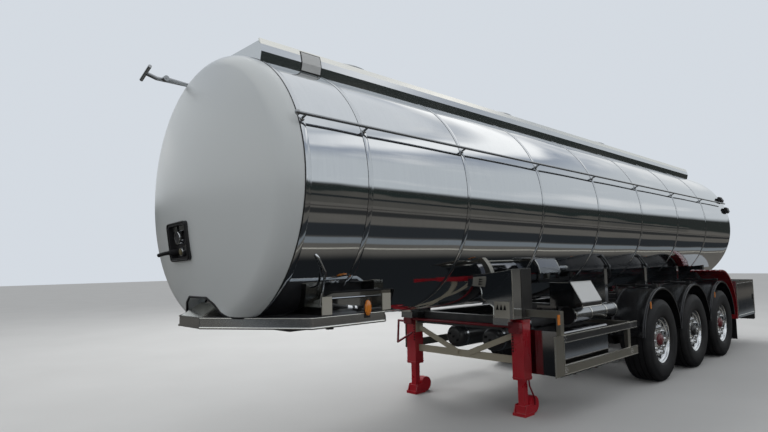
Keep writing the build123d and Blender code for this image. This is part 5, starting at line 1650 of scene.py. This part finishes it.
@dataclass
class Guards:
    """Mudguard shells and lips, side guard beads, tool box straps, hose tube rings and side markers."""

    guard_z: float = 0.56
    guard_radius: float = 0.646
    cut_z: float = 0.62
    shell: float = 0.006
    shell_top: Line = ((0.82, 0.0), (0.834, 0.001), (0.842, -0.003), (0.9, 0.0), (1.15, 0.002),
                       (1.196, 0.0), (1.206, 0.005), (1.216, 0.005), (1.224, -0.001), (1.236, -0.001),
                       (1.249, -0.004))
    shell_foot: Line = ((1.2495, -0.014), (1.244, -0.014), (1.242, -0.002), (0.82, 0.0))
    lips: Path = ((1.246, 0.001, 0.0055), (1.226, 0.004, 0.0045), (0.824, 0.001, 0.0055))
    clamp_half: float = 0.03
    clamp_rows: Line = ((0.86, 0.92), (1.13, 1.19))
    clamp_lifts: Flat = (0.008, 0.046)
    wing_at: Point = (8.235, 0.0, -1.53)
    wing_radius: float = 0.758
    wing_lifts: Flat = (0.12, 0.1)
    wing_rows: Path = ((1.246, 0.001, 0.0055), (1.224, 0.004, 0.0045), (0.813, 0.001, 0.0055))
    rail_rows: Line = ((1.35, 0.08), (1.65, 0.1))
    rail_rear: float = 4.7
    rail_starts: Flat = (2.93, 3.45)
    bead_y: float = 1.241
    bead_radius: float = 0.0045
    bead_inset: float = 0.006
    cap_backs: Flat = (0.01, 0.0005)
    cap_y: Flat = (1.216, 1.238)
    cap_inset: float = 0.004
    channel_half: float = 0.031
    channel_y: Flat = (1.2402, 1.2412)
    channel_ends: Flat = (-0.002, 0.005)
    plate_starts: Flat = (2.75, 3.27)
    plate_edges: Flat = (0.004, 0.176)
    plate_rises: Flat = (-1.31, -1.7)
    plate_bead: float = 0.004
    post_bolts: Line = ((2.96, 4.53), (3.48, 4.53))
    bolt: Flat = (0.007, 0.005)
    bolt_ring: float = 0.022
    bolt_y: float = 1.2425
    straps: Flat = (3.33, 3.82)
    strap: tuple[Point, Point] = ((0.025, 0.756, -1.754), (-0.025, 1.154, -1.7505))
    catches: Flat = (3.26, 3.89)
    catch: tuple[Point, Point] = ((0.022, 1.1505, -1.385), (-0.022, 1.162, -1.325))
    valve_backs: Flat = (3.51, 3.96)
    valve_foot: Path = ((0.0, 1.16, -1.08), (0.0, 1.16, -1.056))
    valve_top: Path = ((0.0, 1.008, -0.822), (0.0, 0.785, -0.822))
    valve_bead: float = 0.005
    hose_rings: tuple[float, ...] = (3.66, 4.04, 4.42, 4.7)
    hose_at: Point = (0.0, 0.92, -1.19)
    hose_ring: Line = ((-0.01, 0.092), (-0.01, 0.0955), (0.01, 0.0955), (0.01, 0.092))
    guard_marker: tuple[Point, Point] = ((2.862, 1.2405, -1.205), (2.818, 1.25, -1.105))
    marker_turn: float = 132.0
    marker_reach: Flat = (0.63, 0.6)
    marker_half: Flat = (0.018, 0.045)
    marker_y: Flat = (1.2505, 1.258)

    def arc(self, middle: Point, y: float, radius: float, start: float, end: float,
            steps: int = 28) -> list[Point]:
        """Points of an arc round a cross axis.

        Args:
            middle: A point of the axis.
            y: Where the arc's plane is.
            radius: Radius of the arc.
            start: First angle in radians, from forward to up.
            end: Last angle.
            steps: Segments in between.

        Returns:
            The arc's points.
        """
        turns = [start + (end - start) * i / steps for i in range(steps + 1)]
        return [(middle[0] + radius * cos(turn), y, middle[2] + radius * sin(turn)) for turn in turns]

    def low(self) -> float:
        """Angle at which a mudguard is cut level."""
        return asin((self.cut_z - self.guard_z) / self.guard_radius)

    def mudguard_shells(self) -> None:
        """Moulded shells with a stepped outer edge, closed at both ends."""
        low, under, form = self.low(), self.guard_radius - self.shell, Form()
        section = [(0.82, under), *[(y, self.guard_radius + lift) for y, lift in self.shell_top],
                   *[(y, under + lift) for y, lift in self.shell_foot]]
        for number in AXLES:
            for side in SIDES.values():
                form.lathe([(y * side, reach) for y, reach in section], (axle_x(number), 0, self.guard_z),
                           LEFTWARD, 44, 2 * low - pi, -low, FORWARD)
        bmesh.ops.remove_doubles(form.mesh, verts=form.mesh.verts, dist=1e-5)
        bmesh.ops.holes_fill(form.mesh, edges=[e for e in form.mesh.edges if e.is_boundary])
        form.land("mudguard_shells", Finish.GUARD_BLACK, smooth=30, replaces=["mudguards"])

    def mudguard_lips(self) -> None:
        """Rolled double lips on the mudguards' edges, lighter as a painted highlight, and clamp plates."""
        low, half = self.low(), self.clamp_half
        foot, top = (self.guard_z + self.guard_radius + lift for lift in self.clamp_lifts)
        lips, clamps = Form(), Form()
        for number in AXLES:
            x = axle_x(number)
            for y, lift, tube in self.lips:
                arc = self.arc((x, 0, self.guard_z), y, self.guard_radius + lift, low, pi - low)
                lips.tubes(arc, tube, steps=6)
            for near, far in self.clamp_rows:
                clamps.blocks((x - half, near, foot), (x + half, far, top), bevel=0.004)
        lips.land("mudguard_lips", Finish.GUARD_LIP_SHEEN, smooth=60)
        clamps.land("mudguard_clamps", Finish.BLACK)

    def wing_lips(self) -> None:
        """Rolled lips on the rear wings."""
        form, (front, rear) = Form(), self.wing_lifts
        for y, lift, tube in self.wing_rows:
            reach = self.wing_radius + lift
            arc = self.arc(at(*self.wing_at), y, reach, acos(front / reach), pi + asin(rear / reach))
            form.tubes(arc, tube, steps=6)
        form.land("wing_lips", Finish.WING_RED, smooth=60)

    def rail_beads(self) -> None:
        """Beads in the paler steel of painted highlight along the side guards' rails, a dark strip of painted
        shade in their channel, and end caps.
        """
        beads, caps, channel_shades = Form(), Form(), Form()
        rear, (level, _) = self.rail_rear, self.rail_rows[0]
        for side, start in zip(SIDES.values(), self.rail_starts):
            for drop, height in self.rail_rows:
                for edge in (1, -1):
                    rise = -drop + edge * (height / 2 - self.bead_inset)
                    beads.tube(placed([(rear, self.bead_y, rise), (start, self.bead_y, rise)], side),
                               self.bead_radius, steps=6)
                reach = height / 2 - self.cap_inset
                ends = zip(self.cap_backs, self.cap_y, (-reach, reach))
                caps.block(*placed([(rear + a, y, z - drop) for a, y, z in ends], side), bevel=0.003)
            ends = zip((rear, start), self.channel_ends, self.channel_y, (-self.channel_half, self.channel_half))
            channel_shades.block(*placed([(end + a, y, z - level) for end, a, y, z in ends], side), bevel=0.0004)
        # The dark strip in each rail's channel is painted shade.
        channel_shades.land("guard_channel_shades", Finish.BLACK)
        beads.land("guard_beads", Finish.HIGHLIGHT_STEEL, smooth=60)
        caps.land("guard_end_caps", Finish.SEAL)

    def plate_beads(self) -> None:
        """Edges of the side guards' front plates in the paler steel of painted highlight, and bolts at the
        posts.
        """
        edges = Form()
        for side, start in zip(SIDES.values(), self.plate_starts):
            for inset in self.plate_edges:
                line = [(start + inset, self.bead_y, rise) for rise in self.plate_rises]
                edges.tube(placed(line, side), self.plate_bead, steps=6)
        edges.land("guard_plate_edges", Finish.HIGHLIGHT_STEEL, smooth=60)
        turn = Matrix.Rotation(pi / 2, 4, "X")
        for (name, side), posts in zip(SIDES.items(), self.post_bolts):
            for number, distance in enumerate(posts, 1):
                for row, (drop, _) in enumerate(self.rail_rows, 1):
                    ring_of(f"guard_bolts_{name}_{number}_{row}", 4, self.bolt_ring, self.bolt, 6,
                            Matrix.Translation(at(distance, side * self.bolt_y, -drop)) @ turn, Finish.NUT)

    def boxes(self) -> None:
        """Straps and catches of the tool box, rings of the hose tube, edge beads of the valve box."""
        straps, beads, rings = Form(), Form(), Form()
        for distance in self.straps:
            straps.block(*[at(distance + a, y, rise) for a, y, rise in self.strap], bevel=0.001)
        straps.land("tool_box_straps", Finish.HIGHLIGHT_STEEL)
        for number, distance in enumerate(self.catches, 1):
            Form().block(*[at(distance + a, y, rise) for a, y, rise in self.catch], bevel=0.004).land(
                f"tool_box_catch_{number}", Finish.FITTING)
        for line in (self.valve_foot, self.valve_top):
            for distance in self.valve_backs:
                beads.tube([at(distance + a, y, z) for a, y, z in line], self.valve_bead, steps=6)
        foot = self.valve_foot[0][1:]
        beads.tube([at(distance, *foot) for distance in self.valve_backs], self.valve_bead, steps=6)
        beads.land("valve_box_edges", Finish.HIGHLIGHT_STEEL, smooth=60)
        for distance in self.hose_rings:
            rings.lathe(self.hose_ring, at(distance, *self.hose_at[1:]), FORWARD, steps=40)
        rings.land("hose_tube_rings", Finish.HIGHLIGHT_STEEL)

    def markers(self) -> None:
        """Amber side markers on the left guard and the outer mudguards."""
        form = Form().block(*placed(self.guard_marker), bevel=0.003)
        turn, (wide, tall), (near, far) = radians(self.marker_turn), self.marker_half, self.marker_y
        z = self.guard_z + sin(turn) * self.marker_reach[1]
        for number in (AXLES[0], AXLES[-1]):
            x = axle_x(number) - cos(turn) * self.marker_reach[0]
            form.blocks((x - wide, near, z - tall), (x + wide, far, z + tall), bevel=0.003)
        form.land("side_markers", Finish.AMBER)

    def build(self) -> None:
        """Make every fitting of the guards and boxes."""
        self.mudguard_shells()
        self.mudguard_lips()
        self.wing_lips()
        self.rail_beads()
        self.plate_beads()
        self.boxes()
        self.markers()


@dataclass
class Tail:
    """Lamps, reflectors, bare plate, door furniture and bumper caps at the trailer's rear."""

    rear: float = lowest("rear_bumper", 0)
    beam: Flat = (1.29, 1.48)
    face: float = 0.0195
    case_y: Flat = (0.72, 1.18)
    case_depth: float = 0.03
    case_half: float = 0.07
    lenses: tuple[tuple[Finish, float, float], ...] = (
        (Finish.RED_LENS, 0.735, 0.88), (Finish.AMBER, 0.89, 1.0), (Finish.RED_LENS, 1.01, 1.09),
        (Finish.CLEAR, 1.1, 1.165))
    lens_half: float = 0.056
    lens_x: Flat = (-0.042, -0.029)
    bar_x: Flat = (-0.006, 0.001)
    reflector: tuple[Flat, Flat] = ((0.95, 0.47), (1.15, 0.51))
    plate: tuple[Flat, Flat] = ((-0.26, 0.435), (0.26, 0.545))
    door_backs: Flat = (9.07, 10.15)
    door_drops: Flat = (0.985, 1.62)
    door_inset: float = 0.04
    door_bead: float = 0.004
    door_y: float = 1.2405
    handle_y: float = 1.249
    handle_backs: Flat = (10.1, 10.06)
    handle_half: float = 0.055
    cap: tuple[Point, Point] = ((0.002, 1.2005, 0.436), (0.086, 1.21, 0.544))

    def lamps(self, name: str, side: int) -> None:
        """Lamp cluster on the rear beam, and the reflector on the underrun bar, of one side.

        Args:
            name: Side's name.
            side: 1 on the left, -1 on the right.
        """
        middle, face = up(-sum(self.beam) / 2), self.rear + self.face
        near, far = (side * y for y in self.case_y)
        case = Form().block((face - self.case_depth, near, middle - self.case_half),
                            (face, far, middle + self.case_half), bevel=0.006)
        case.land(f"rear_lamp_case_{name}", Finish.BOX)
        rear, front = (face + x for x in self.lens_x)
        for number, (finish, start, end) in enumerate(self.lenses, 1):
            Form().block((rear, side * start, middle - self.lens_half),
                         (front, side * end, middle + self.lens_half), bevel=0.005).land(
                f"rear_lamp_{name}_{number}", finish)
        self.on_bar(f"rear_reflector_{name}", Finish.RED_LENS, [(side * y, z) for y, z in self.reflector])

    def on_bar(self, name: str, finish: Finish, corners: Sequence[Flat]) -> None:
        """Thin block on the underrun bar's rear face, between two (y, z) corners."""
        low, high = ((self.rear + x, *corner) for x, corner in zip(self.bar_x, corners))
        Form().block(low, high, bevel=0.002).land(name, finish)

    def door(self, name: str, side: int) -> None:
        """Bead and handle of a cabinet door, on the door's own body.

        Args:
            name: Side's name.
            side: 1 on the left, -1 on the right.
        """
        body, y = f"cabinet_door_{name}", side * self.door_y
        top, foot = (up(-drop) for drop in self.door_drops)
        high, low, middle = top - self.door_inset, foot + self.door_inset, (top + foot) / 2
        front, rear = map(back, self.door_backs)
        loop = [(x, y, z) for x, z in ((front, high), (rear, high), (rear, low), (front, low), (front, high))]
        Form().tube(loop, self.door_bead, steps=6).land(f"door_bead_{name}", Finish.HIGHLIGHT_STEEL, body)
        rear, front = map(back, self.handle_backs)
        handle = Form().block((rear, y, middle - self.handle_half),
                              (front, side * self.handle_y, middle + self.handle_half), bevel=0.004)
        handle.land(f"door_handle_{name}", Finish.BLACK, body)

    def bumper_cap(self, name: str, side: int) -> None:
        """End cap of the underrun bar."""
        low, high = ((self.rear + x, side * y, z) for x, y, z in self.cap)
        Form().block(low, high, bevel=0.006).land(f"bumper_cap_{name}", Finish.SEAL)

    def build(self) -> None:
        """Make the tail's pieces."""
        for make in (self.lamps, self.door, self.bumper_cap):
            for name, side in SIDES.items():
                make(name, side)
        self.on_bar("rear_plate", Finish.WHITE, self.plate)


@dataclass
class Underframe:
    """Air tank fittings, rail pipes, bellows rings and brake chambers."""

    air_y: float = 0.26
    air_rise: float = -1.4553
    air_front: float = 3.08
    air_straps: Flat = (3.2, 3.76)
    air_strap: Line = ((-0.018, 0.1305), (-0.018, 0.1335), (0.018, 0.1335), (0.018, 0.1305))
    bosses: Line = ((0.0, 0.0), (0.055, -0.04), (-0.06, 0.03))
    boss: Line = ((-0.03, 0.0), (-0.03, 0.016), (0.012, 0.016), (0.014, 0.012), (0.014, 0.0))
    pipe_rises: Point = (-1.205, -1.232, -1.259)
    pipe_backs: Flat = (2.9, 9.95)
    pipe_y: float = 0.578
    pipe_radius: float = 0.006
    spring_behind: float = 0.39
    spring_y: float = 0.6
    bellows: tuple[float, ...] = (0.64, 0.7, 0.76, 0.81)
    bellows_ring: Line = ((-0.022, 0.13), (-0.014, 0.137), (0.0, 0.14), (0.014, 0.137), (0.022, 0.13))
    chamber: Line = ((0.0, 0.0), (0.0, 0.058), (0.006, 0.064), (0.06, 0.066), (0.064, 0.073), (0.072, 0.073),
                     (0.076, 0.066), (0.13, 0.062), (0.14, 0.05), (0.14, 0.0))
    chamber_at: Point = (0.118, 0.43, 0.56)
    chamber_way: Point = (0.35, 0.0, -0.1)
    bracket: tuple[Point, Point] = ((0.04, 0.4, 0.52), (0.125, 0.46, 0.6))

    def air_tanks(self) -> None:
        """Straps and bosses of the two air tanks."""
        straps, bosses = Form(), Form()
        for side in SIDES.values():
            for distance in self.air_straps:
                middle = at(distance, side * self.air_y, self.air_rise)
                straps.lathe(self.air_strap, middle, FORWARD, steps=40)
            for dy, dz in self.bosses:
                middle = at(self.air_front, side * self.air_y + dy, self.air_rise + dz)
                bosses.lathe(self.boss, middle, FORWARD, steps=12)
        straps.land("air_tank_straps", Finish.FITTING)
        bosses.land("air_tank_bosses", Finish.SEAL)

    def pipes(self) -> None:
        """Air pipes clipped along the rails' inner sides."""
        form = Form()
        for rise in self.pipe_rises:
            form.tubes([at(distance, self.pipe_y, rise) for distance in self.pipe_backs], self.pipe_radius)
        form.land("rail_pipes", Finish.SEAL, smooth=60)

    def springs(self) -> None:
        """Rolled bellows rings of the air springs."""
        form = Form()
        for number in AXLES:
            for side in SIDES.values():
                x, y = axle_x(number) - self.spring_behind, side * self.spring_y
                for z in self.bellows:
                    form.lathe(self.bellows_ring, (x, y, z), UPWARD, steps=36)
        form.land("bellows_rings", Finish.SEAL, smooth=60)

    def chambers(self) -> None:
        """Brake chambers on the axles, with their brackets."""
        brackets, cans = Form(), Form()
        for number in AXLES:
            low, high = ((axle_x(number) + x, y, z) for x, y, z in self.bracket)
            brackets.blocks(low, high, bevel=0.004)
            x, y, z = self.chamber_at
            for side in SIDES.values():
                cans.lathe(self.chamber, (axle_x(number) + x, side * y, z), self.chamber_way, steps=24)
        brackets.land("chamber_brackets", Finish.AXLE)
        cans.land("brake_chambers", Finish.BLACK)

    def build(self) -> None:
        """Make the underframe's fittings."""
        self.air_tanks()
        self.pipes()
        self.springs()
        self.chambers()


NODES_OF = {
    Finish.DECK: ("walkway",),
    Finish.FITTING: ("manhole_necks", "handrail_feet", "rear_ladder"),
    Finish.RAIL: ("handrail", "side_rails", "hose_tube", "manhole_lid"),
    Finish.SHEET: ("coupling_frame", "tank_cradles"),
    Finish.SADDLE: ("front_saddles",),
    Finish.CABINET: ("rear_cabinet", "rear_beam", "tool_box", "valve_box"),
    Finish.GUARD: ("side_guards",),
    Finish.WHITE: ("valve_lid",),
    Finish.GREY: ("leg_brackets",),
    Finish.RED: ("leg_outers", "leg_feet"),
    Finish.DARK_RED: ("leg_drive",),
    Finish.WING_RED: ("rear_wings",),
    Finish.BLACK: ("guard_carriers",),
    Finish.DARK: ("chassis_rails", "hangers", "rear_bumper", "air_tanks"),
    Finish.AXLE: ("kingpin_plate", "axles", "trailing_arms"),
    Finish.SEAL: ("air_springs", "mud_flaps", "hose_cap"),
    Finish.TYRE: ("tyre",),
    Finish.RIM: ("rim",),
}


def dress_nodes() -> None:
    """Give every CAD node that stays its finish, by the start of its name."""
    for name, node in frame["nodes"].items():
        finish = next((finish for finish, starts in NODES_OF.items() if name.startswith(starts)), Finish.RAIL)
        node.data.materials.clear()
        node.data.materials.append(finish.material())


# Studio and camera


@dataclass
class Studio:
    """Pale floor, pale surroundings, a soft lamp, and cards that only the polished steel reflects."""

    floor_half: float = 60.0
    lamp_power: float = 900.0
    lamp_at: Point = (-2.0, -7.0, 11.0)
    lamp_aim: Point = (0.0, 0.0, 1.5)
    lamp_size: float = 7.0
    card_lift: float = 0.004
    hedge_y: float = 13.0
    hedge_half: float = 40.0
    hedge_height: float = 6.0
    level: float = 0.78
    shade_half: float = 1.95
    line_y: float = 2.3
    line_width: float = 0.07
    stripes: tuple[tuple[float, float, float, Colour], ...] = (
        (2.6, 3.05, 0.05, (0.21, 0.235, 0.255)), (3.1, 4.6, 0.15, (0.03, 0.034, 0.038)),
        (6.6, 8.6, 0.3, (0.035, 0.036, 0.036)), (9.6, 10.3, 0.2, (0.06, 0.058, 0.054)))

    def sheet(self, name: str, corners: Sequence[Point]) -> bpy.types.Object:
        """One flat stage sheet.

        Args:
            name: The sheet's name.
            corners: Its four corners, in order.

        Returns:
            The sheet.
        """
        data = bpy.data.meshes.new(name)
        data.from_pydata(corners, [], [(0, 1, 2, 3)])
        made = bpy.data.objects.new(name, data)
        bpy.context.scene.collection.objects.link(made)
        return made

    def square(self, height: float) -> list[Point]:
        """Corners of a level square of the floor's size."""
        h = self.floor_half
        return [(-h, -h, height), (h, -h, height), (h, h, height), (-h, h, height)]

    def floor(self) -> None:
        """A wide floor, pale to the eye and calmer in the light that it throws back."""
        s = Shade("studio_floor")
        seen = s.node("ShaderNodeLightPath", {}, {}, "Is Camera Ray")
        pale = s.mix(s.noise(0.8, detail=4.0), (0.52, 0.52, 0.51), (0.58, 0.58, 0.57))
        self.sheet("floor", self.square(0.0)).data.materials.append(
            s.close({"Base Color": s.mix(seen, (0.2, 0.195, 0.19), pale), "Roughness": 0.85,
                     "Specular IOR Level": 0.0}))

    def card(self, name: str, corners: Sequence[Point], s: Shade, colour: Wire,
             mask: Wire | None = None) -> None:
        """A glowing card that only glossy rays meet.

        Args:
            name: The card's name.
            corners: Its four corners.
            s: Its material in the making.
            colour: What it glows with.
            mask: Where it shows, everywhere if not given.
        """
        card = self.sheet(name, corners)
        glow = s.node("ShaderNodeEmission", {}, {"Color": colour, "Strength": 1.0})
        if mask is not None:
            clear = s.node("ShaderNodeBsdfTransparent", {}, {})
            glow = s.node("ShaderNodeMixShader", {}, {0: mask, 1: clear, 2: glow})
        s.node("ShaderNodeOutputMaterial", {}, {"Surface": glow})
        card.data.materials.append(s.material)
        for ray in ("camera", "diffuse", "shadow", "transmission", "volume_scatter"):
            setattr(card, f"visible_{ray}", False)

    def ground_card(self) -> None:
        """Ground in long stripes of shade and light."""
        s = Shade("ground_card")
        x, y, _ = s.axes()
        across, along = y.size(), x.size()
        wander = across + s.noise(0.1, detail=2.0) * 0.5 - 0.25
        edge = along.span(5.6, 7.4) * 3.0
        tone = s.mix(s.noise(0.5, detail=5.0), (0.105, 0.1, 0.09), (0.17, 0.16, 0.145))
        for start, end, soft, colour in self.stripes:
            inside = wander.span(start - soft, start + soft) * (1 - wander.span(end - soft, end + soft))
            tone = s.mix(inside, tone, colour)
        shade = (1 - (across + edge).span(self.shade_half - 0.25, self.shade_half + 0.25)).clamp()
        tone = s.mix(shade, tone, (0.014, 0.016, 0.018))
        line = (across > self.line_y) * (across < self.line_y + self.line_width)
        self.card("ground_card", self.square(self.card_lift), s, s.mix(line, tone, (0.5, 0.48, 0.42)))

    def horizon_card(self, name: str, y: float) -> None:
        """Layered dark backdrop with an uneven top, as tall as a hedge.

        Args:
            name: The card's name.
            y: How far to the side it stands.
        """
        s = Shade(name)
        _, _, z = s.axes()
        crest = s.noise(0.16, detail=3.0) * 2.6 + s.noise(1.1, detail=4.0) * 0.7 + 1.35
        mask = 1 - (z - crest).span(-0.1, 0.25)
        low = s.mix(s.noise(0.35, (1.0, 1.0, 0.2)), (0.06, 0.062, 0.06), (0.14, 0.13, 0.112))
        belt = z.span(1.05, 1.25) * (1 - z.span(1.45, 1.6))
        tone = s.mix(belt, low, (0.022, 0.026, 0.028))
        tone = s.mix((z - crest).span(-0.95, -0.6), tone, (0.024, 0.032, 0.03))
        half, top = self.hedge_half, self.hedge_height
        self.card(name, [(-half, y, 0.0), (half, y, 0.0), (half, y, top), (-half, y, top)], s, tone, mask)

    def world(self) -> None:
        """Pale surroundings for the camera, a clouded sky for reflections, a plain level for the rest."""
        world = bpy.data.worlds.new("surroundings")
        bpy.context.scene.world = world
        world.use_nodes = True
        s = Shade("sky", world.node_tree)
        way = s.node("ShaderNodeTexCoord", {}, {}, "Generated")
        parts = s.node("ShaderNodeSeparateXYZ", {}, {"Vector": way}).socket.node.outputs
        x, z = Wire(s, parts[0]), Wire(s, parts[2])
        spread = s.node("ShaderNodeMapping", {}, {"Vector": way, "Scale": (1.0, 1.0, 3.2)})
        cloud = s.node("ShaderNodeTexNoise", {}, {"Vector": spread, "Scale": 2.1, "Detail": 5.0})
        height = z + cloud * 0.1 - 0.05
        sky = s.mix(height.span(0.38, 0.52), (0.68, 0.72, 0.75), (0.43, 0.48, 0.56))
        sky = s.mix(height.span(0.6, 0.7), sky, (0.88, 0.91, 0.94))
        sky = s.mix(cloud.span(0.5, 0.66) * 0.75, sky, (0.98, 0.99, 0.99))
        streak = height.span(0.5, 0.56) * (1 - height.span(0.6, 0.66)) * (x * -1.0).span(0.35, 0.75)
        sky = s.mix(streak * 0.85, sky, (1.45, 1.45, 1.43))
        ground = (0.13, 0.125, 0.115)
        hedge = cloud * 0.1 + 0.05
        sky = s.mix((z - hedge).span(-0.02, 0.03), (0.03, 0.034, 0.032), sky)
        sky = s.mix(z.span(-0.03, -0.01), ground, sky)
        gloss = s.node("ShaderNodeBackground", {}, {"Color": sky})
        plain = s.node("ShaderNodeBackground", {}, {"Color": (0.9, 0.92, 0.95, 1), "Strength": self.level})
        open_sky = s.node("ShaderNodeBackground", {}, {"Color": (0.66, 0.705, 0.76, 1)})
        paths = s.node("ShaderNodeLightPath", {}, {}).socket.node.outputs
        blend = s.node("ShaderNodeMixShader", {}, {0: Wire(s, paths["Is Glossy Ray"]), 1: plain, 2: gloss})
        blend = s.node("ShaderNodeMixShader", {}, {0: Wire(s, paths["Is Camera Ray"]), 1: blend, 2: open_sky})
        s.node("ShaderNodeOutputWorld", {}, {"Surface": blend})

    def lamp(self, name: str, place: Point, aim: Point, size: float, power: float) -> None:
        """A square soft lamp, unseen in reflections.

        Args:
            name: The lamp's name.
            place: Where it is.
            aim: The point that it faces.
            size: Its width.
            power: Its watts.
        """
        data = bpy.data.lights.new(name, "AREA")
        data.shape = "SQUARE"
        data.size = size
        data.energy = power
        lamp = bpy.data.objects.new(name, data)
        bpy.context.scene.collection.objects.link(lamp)
        lamp.location = place
        lamp.rotation_euler = (Vector(aim) - Vector(place)).to_track_quat("-Z", "Y").to_euler()
        lamp.visible_glossy = False

    def build(self) -> None:
        """Floor, surroundings, lamp and cards."""
        self.floor()
        self.world()
        self.lamp("key_lamp", self.lamp_at, self.lamp_aim, self.lamp_size, self.lamp_power)
        self.ground_card()
        for name, side in SIDES.items():
            self.horizon_card(f"horizon_card_{name}", side * self.hedge_y)


@dataclass
class Eye:
    """The camera at the photograph's viewpoint."""

    place: Point = (7.089, 4.0, 1.577)
    yaw: float = 225.957
    pitch: float = 4.92
    roll: float = -0.9
    lens: float = 26.0
    sensor: float = 36.0
    sight: float = 300.0

    def build(self) -> None:
        """Create the camera and make it the scene's own."""
        data = bpy.data.cameras.new("eye")
        data.lens = self.lens
        data.sensor_width = self.sensor
        data.clip_end = self.sight
        eye = bpy.data.objects.new("eye", data)
        bpy.context.scene.collection.objects.link(eye)
        yaw, pitch, roll = radians(self.yaw), radians(self.pitch), radians(self.roll)
        ahead = Vector((cos(yaw) * cos(pitch), sin(yaw) * cos(pitch), sin(pitch)))
        right = ahead.cross(Vector((0, 0, 1))).normalized()
        above = right.cross(ahead)
        across = right * cos(roll) + above * sin(roll)
        upward = above * cos(roll) - right * sin(roll)
        turn = Matrix((across, upward, -ahead)).transposed().to_4x4()
        eye.matrix_world = Matrix.Translation(self.place) @ turn
        bpy.context.scene.camera = eye


def main() -> None:
    """Dress the trailer, set the studio, and note the sizes."""
    logging.basicConfig(level=logging.INFO, format="%(message)s")
    bpy.context.scene.view_settings.view_transform = "Standard"
    dress_nodes()
    for kind in (Barrel, FrontCover, Walkway, Coupling, Legs, Wheels, Guards, Tail, Underframe, Studio, Eye):
        log.info("building %s", kind.__name__)
        kind().build()


if __name__ == "__main__":
    main()
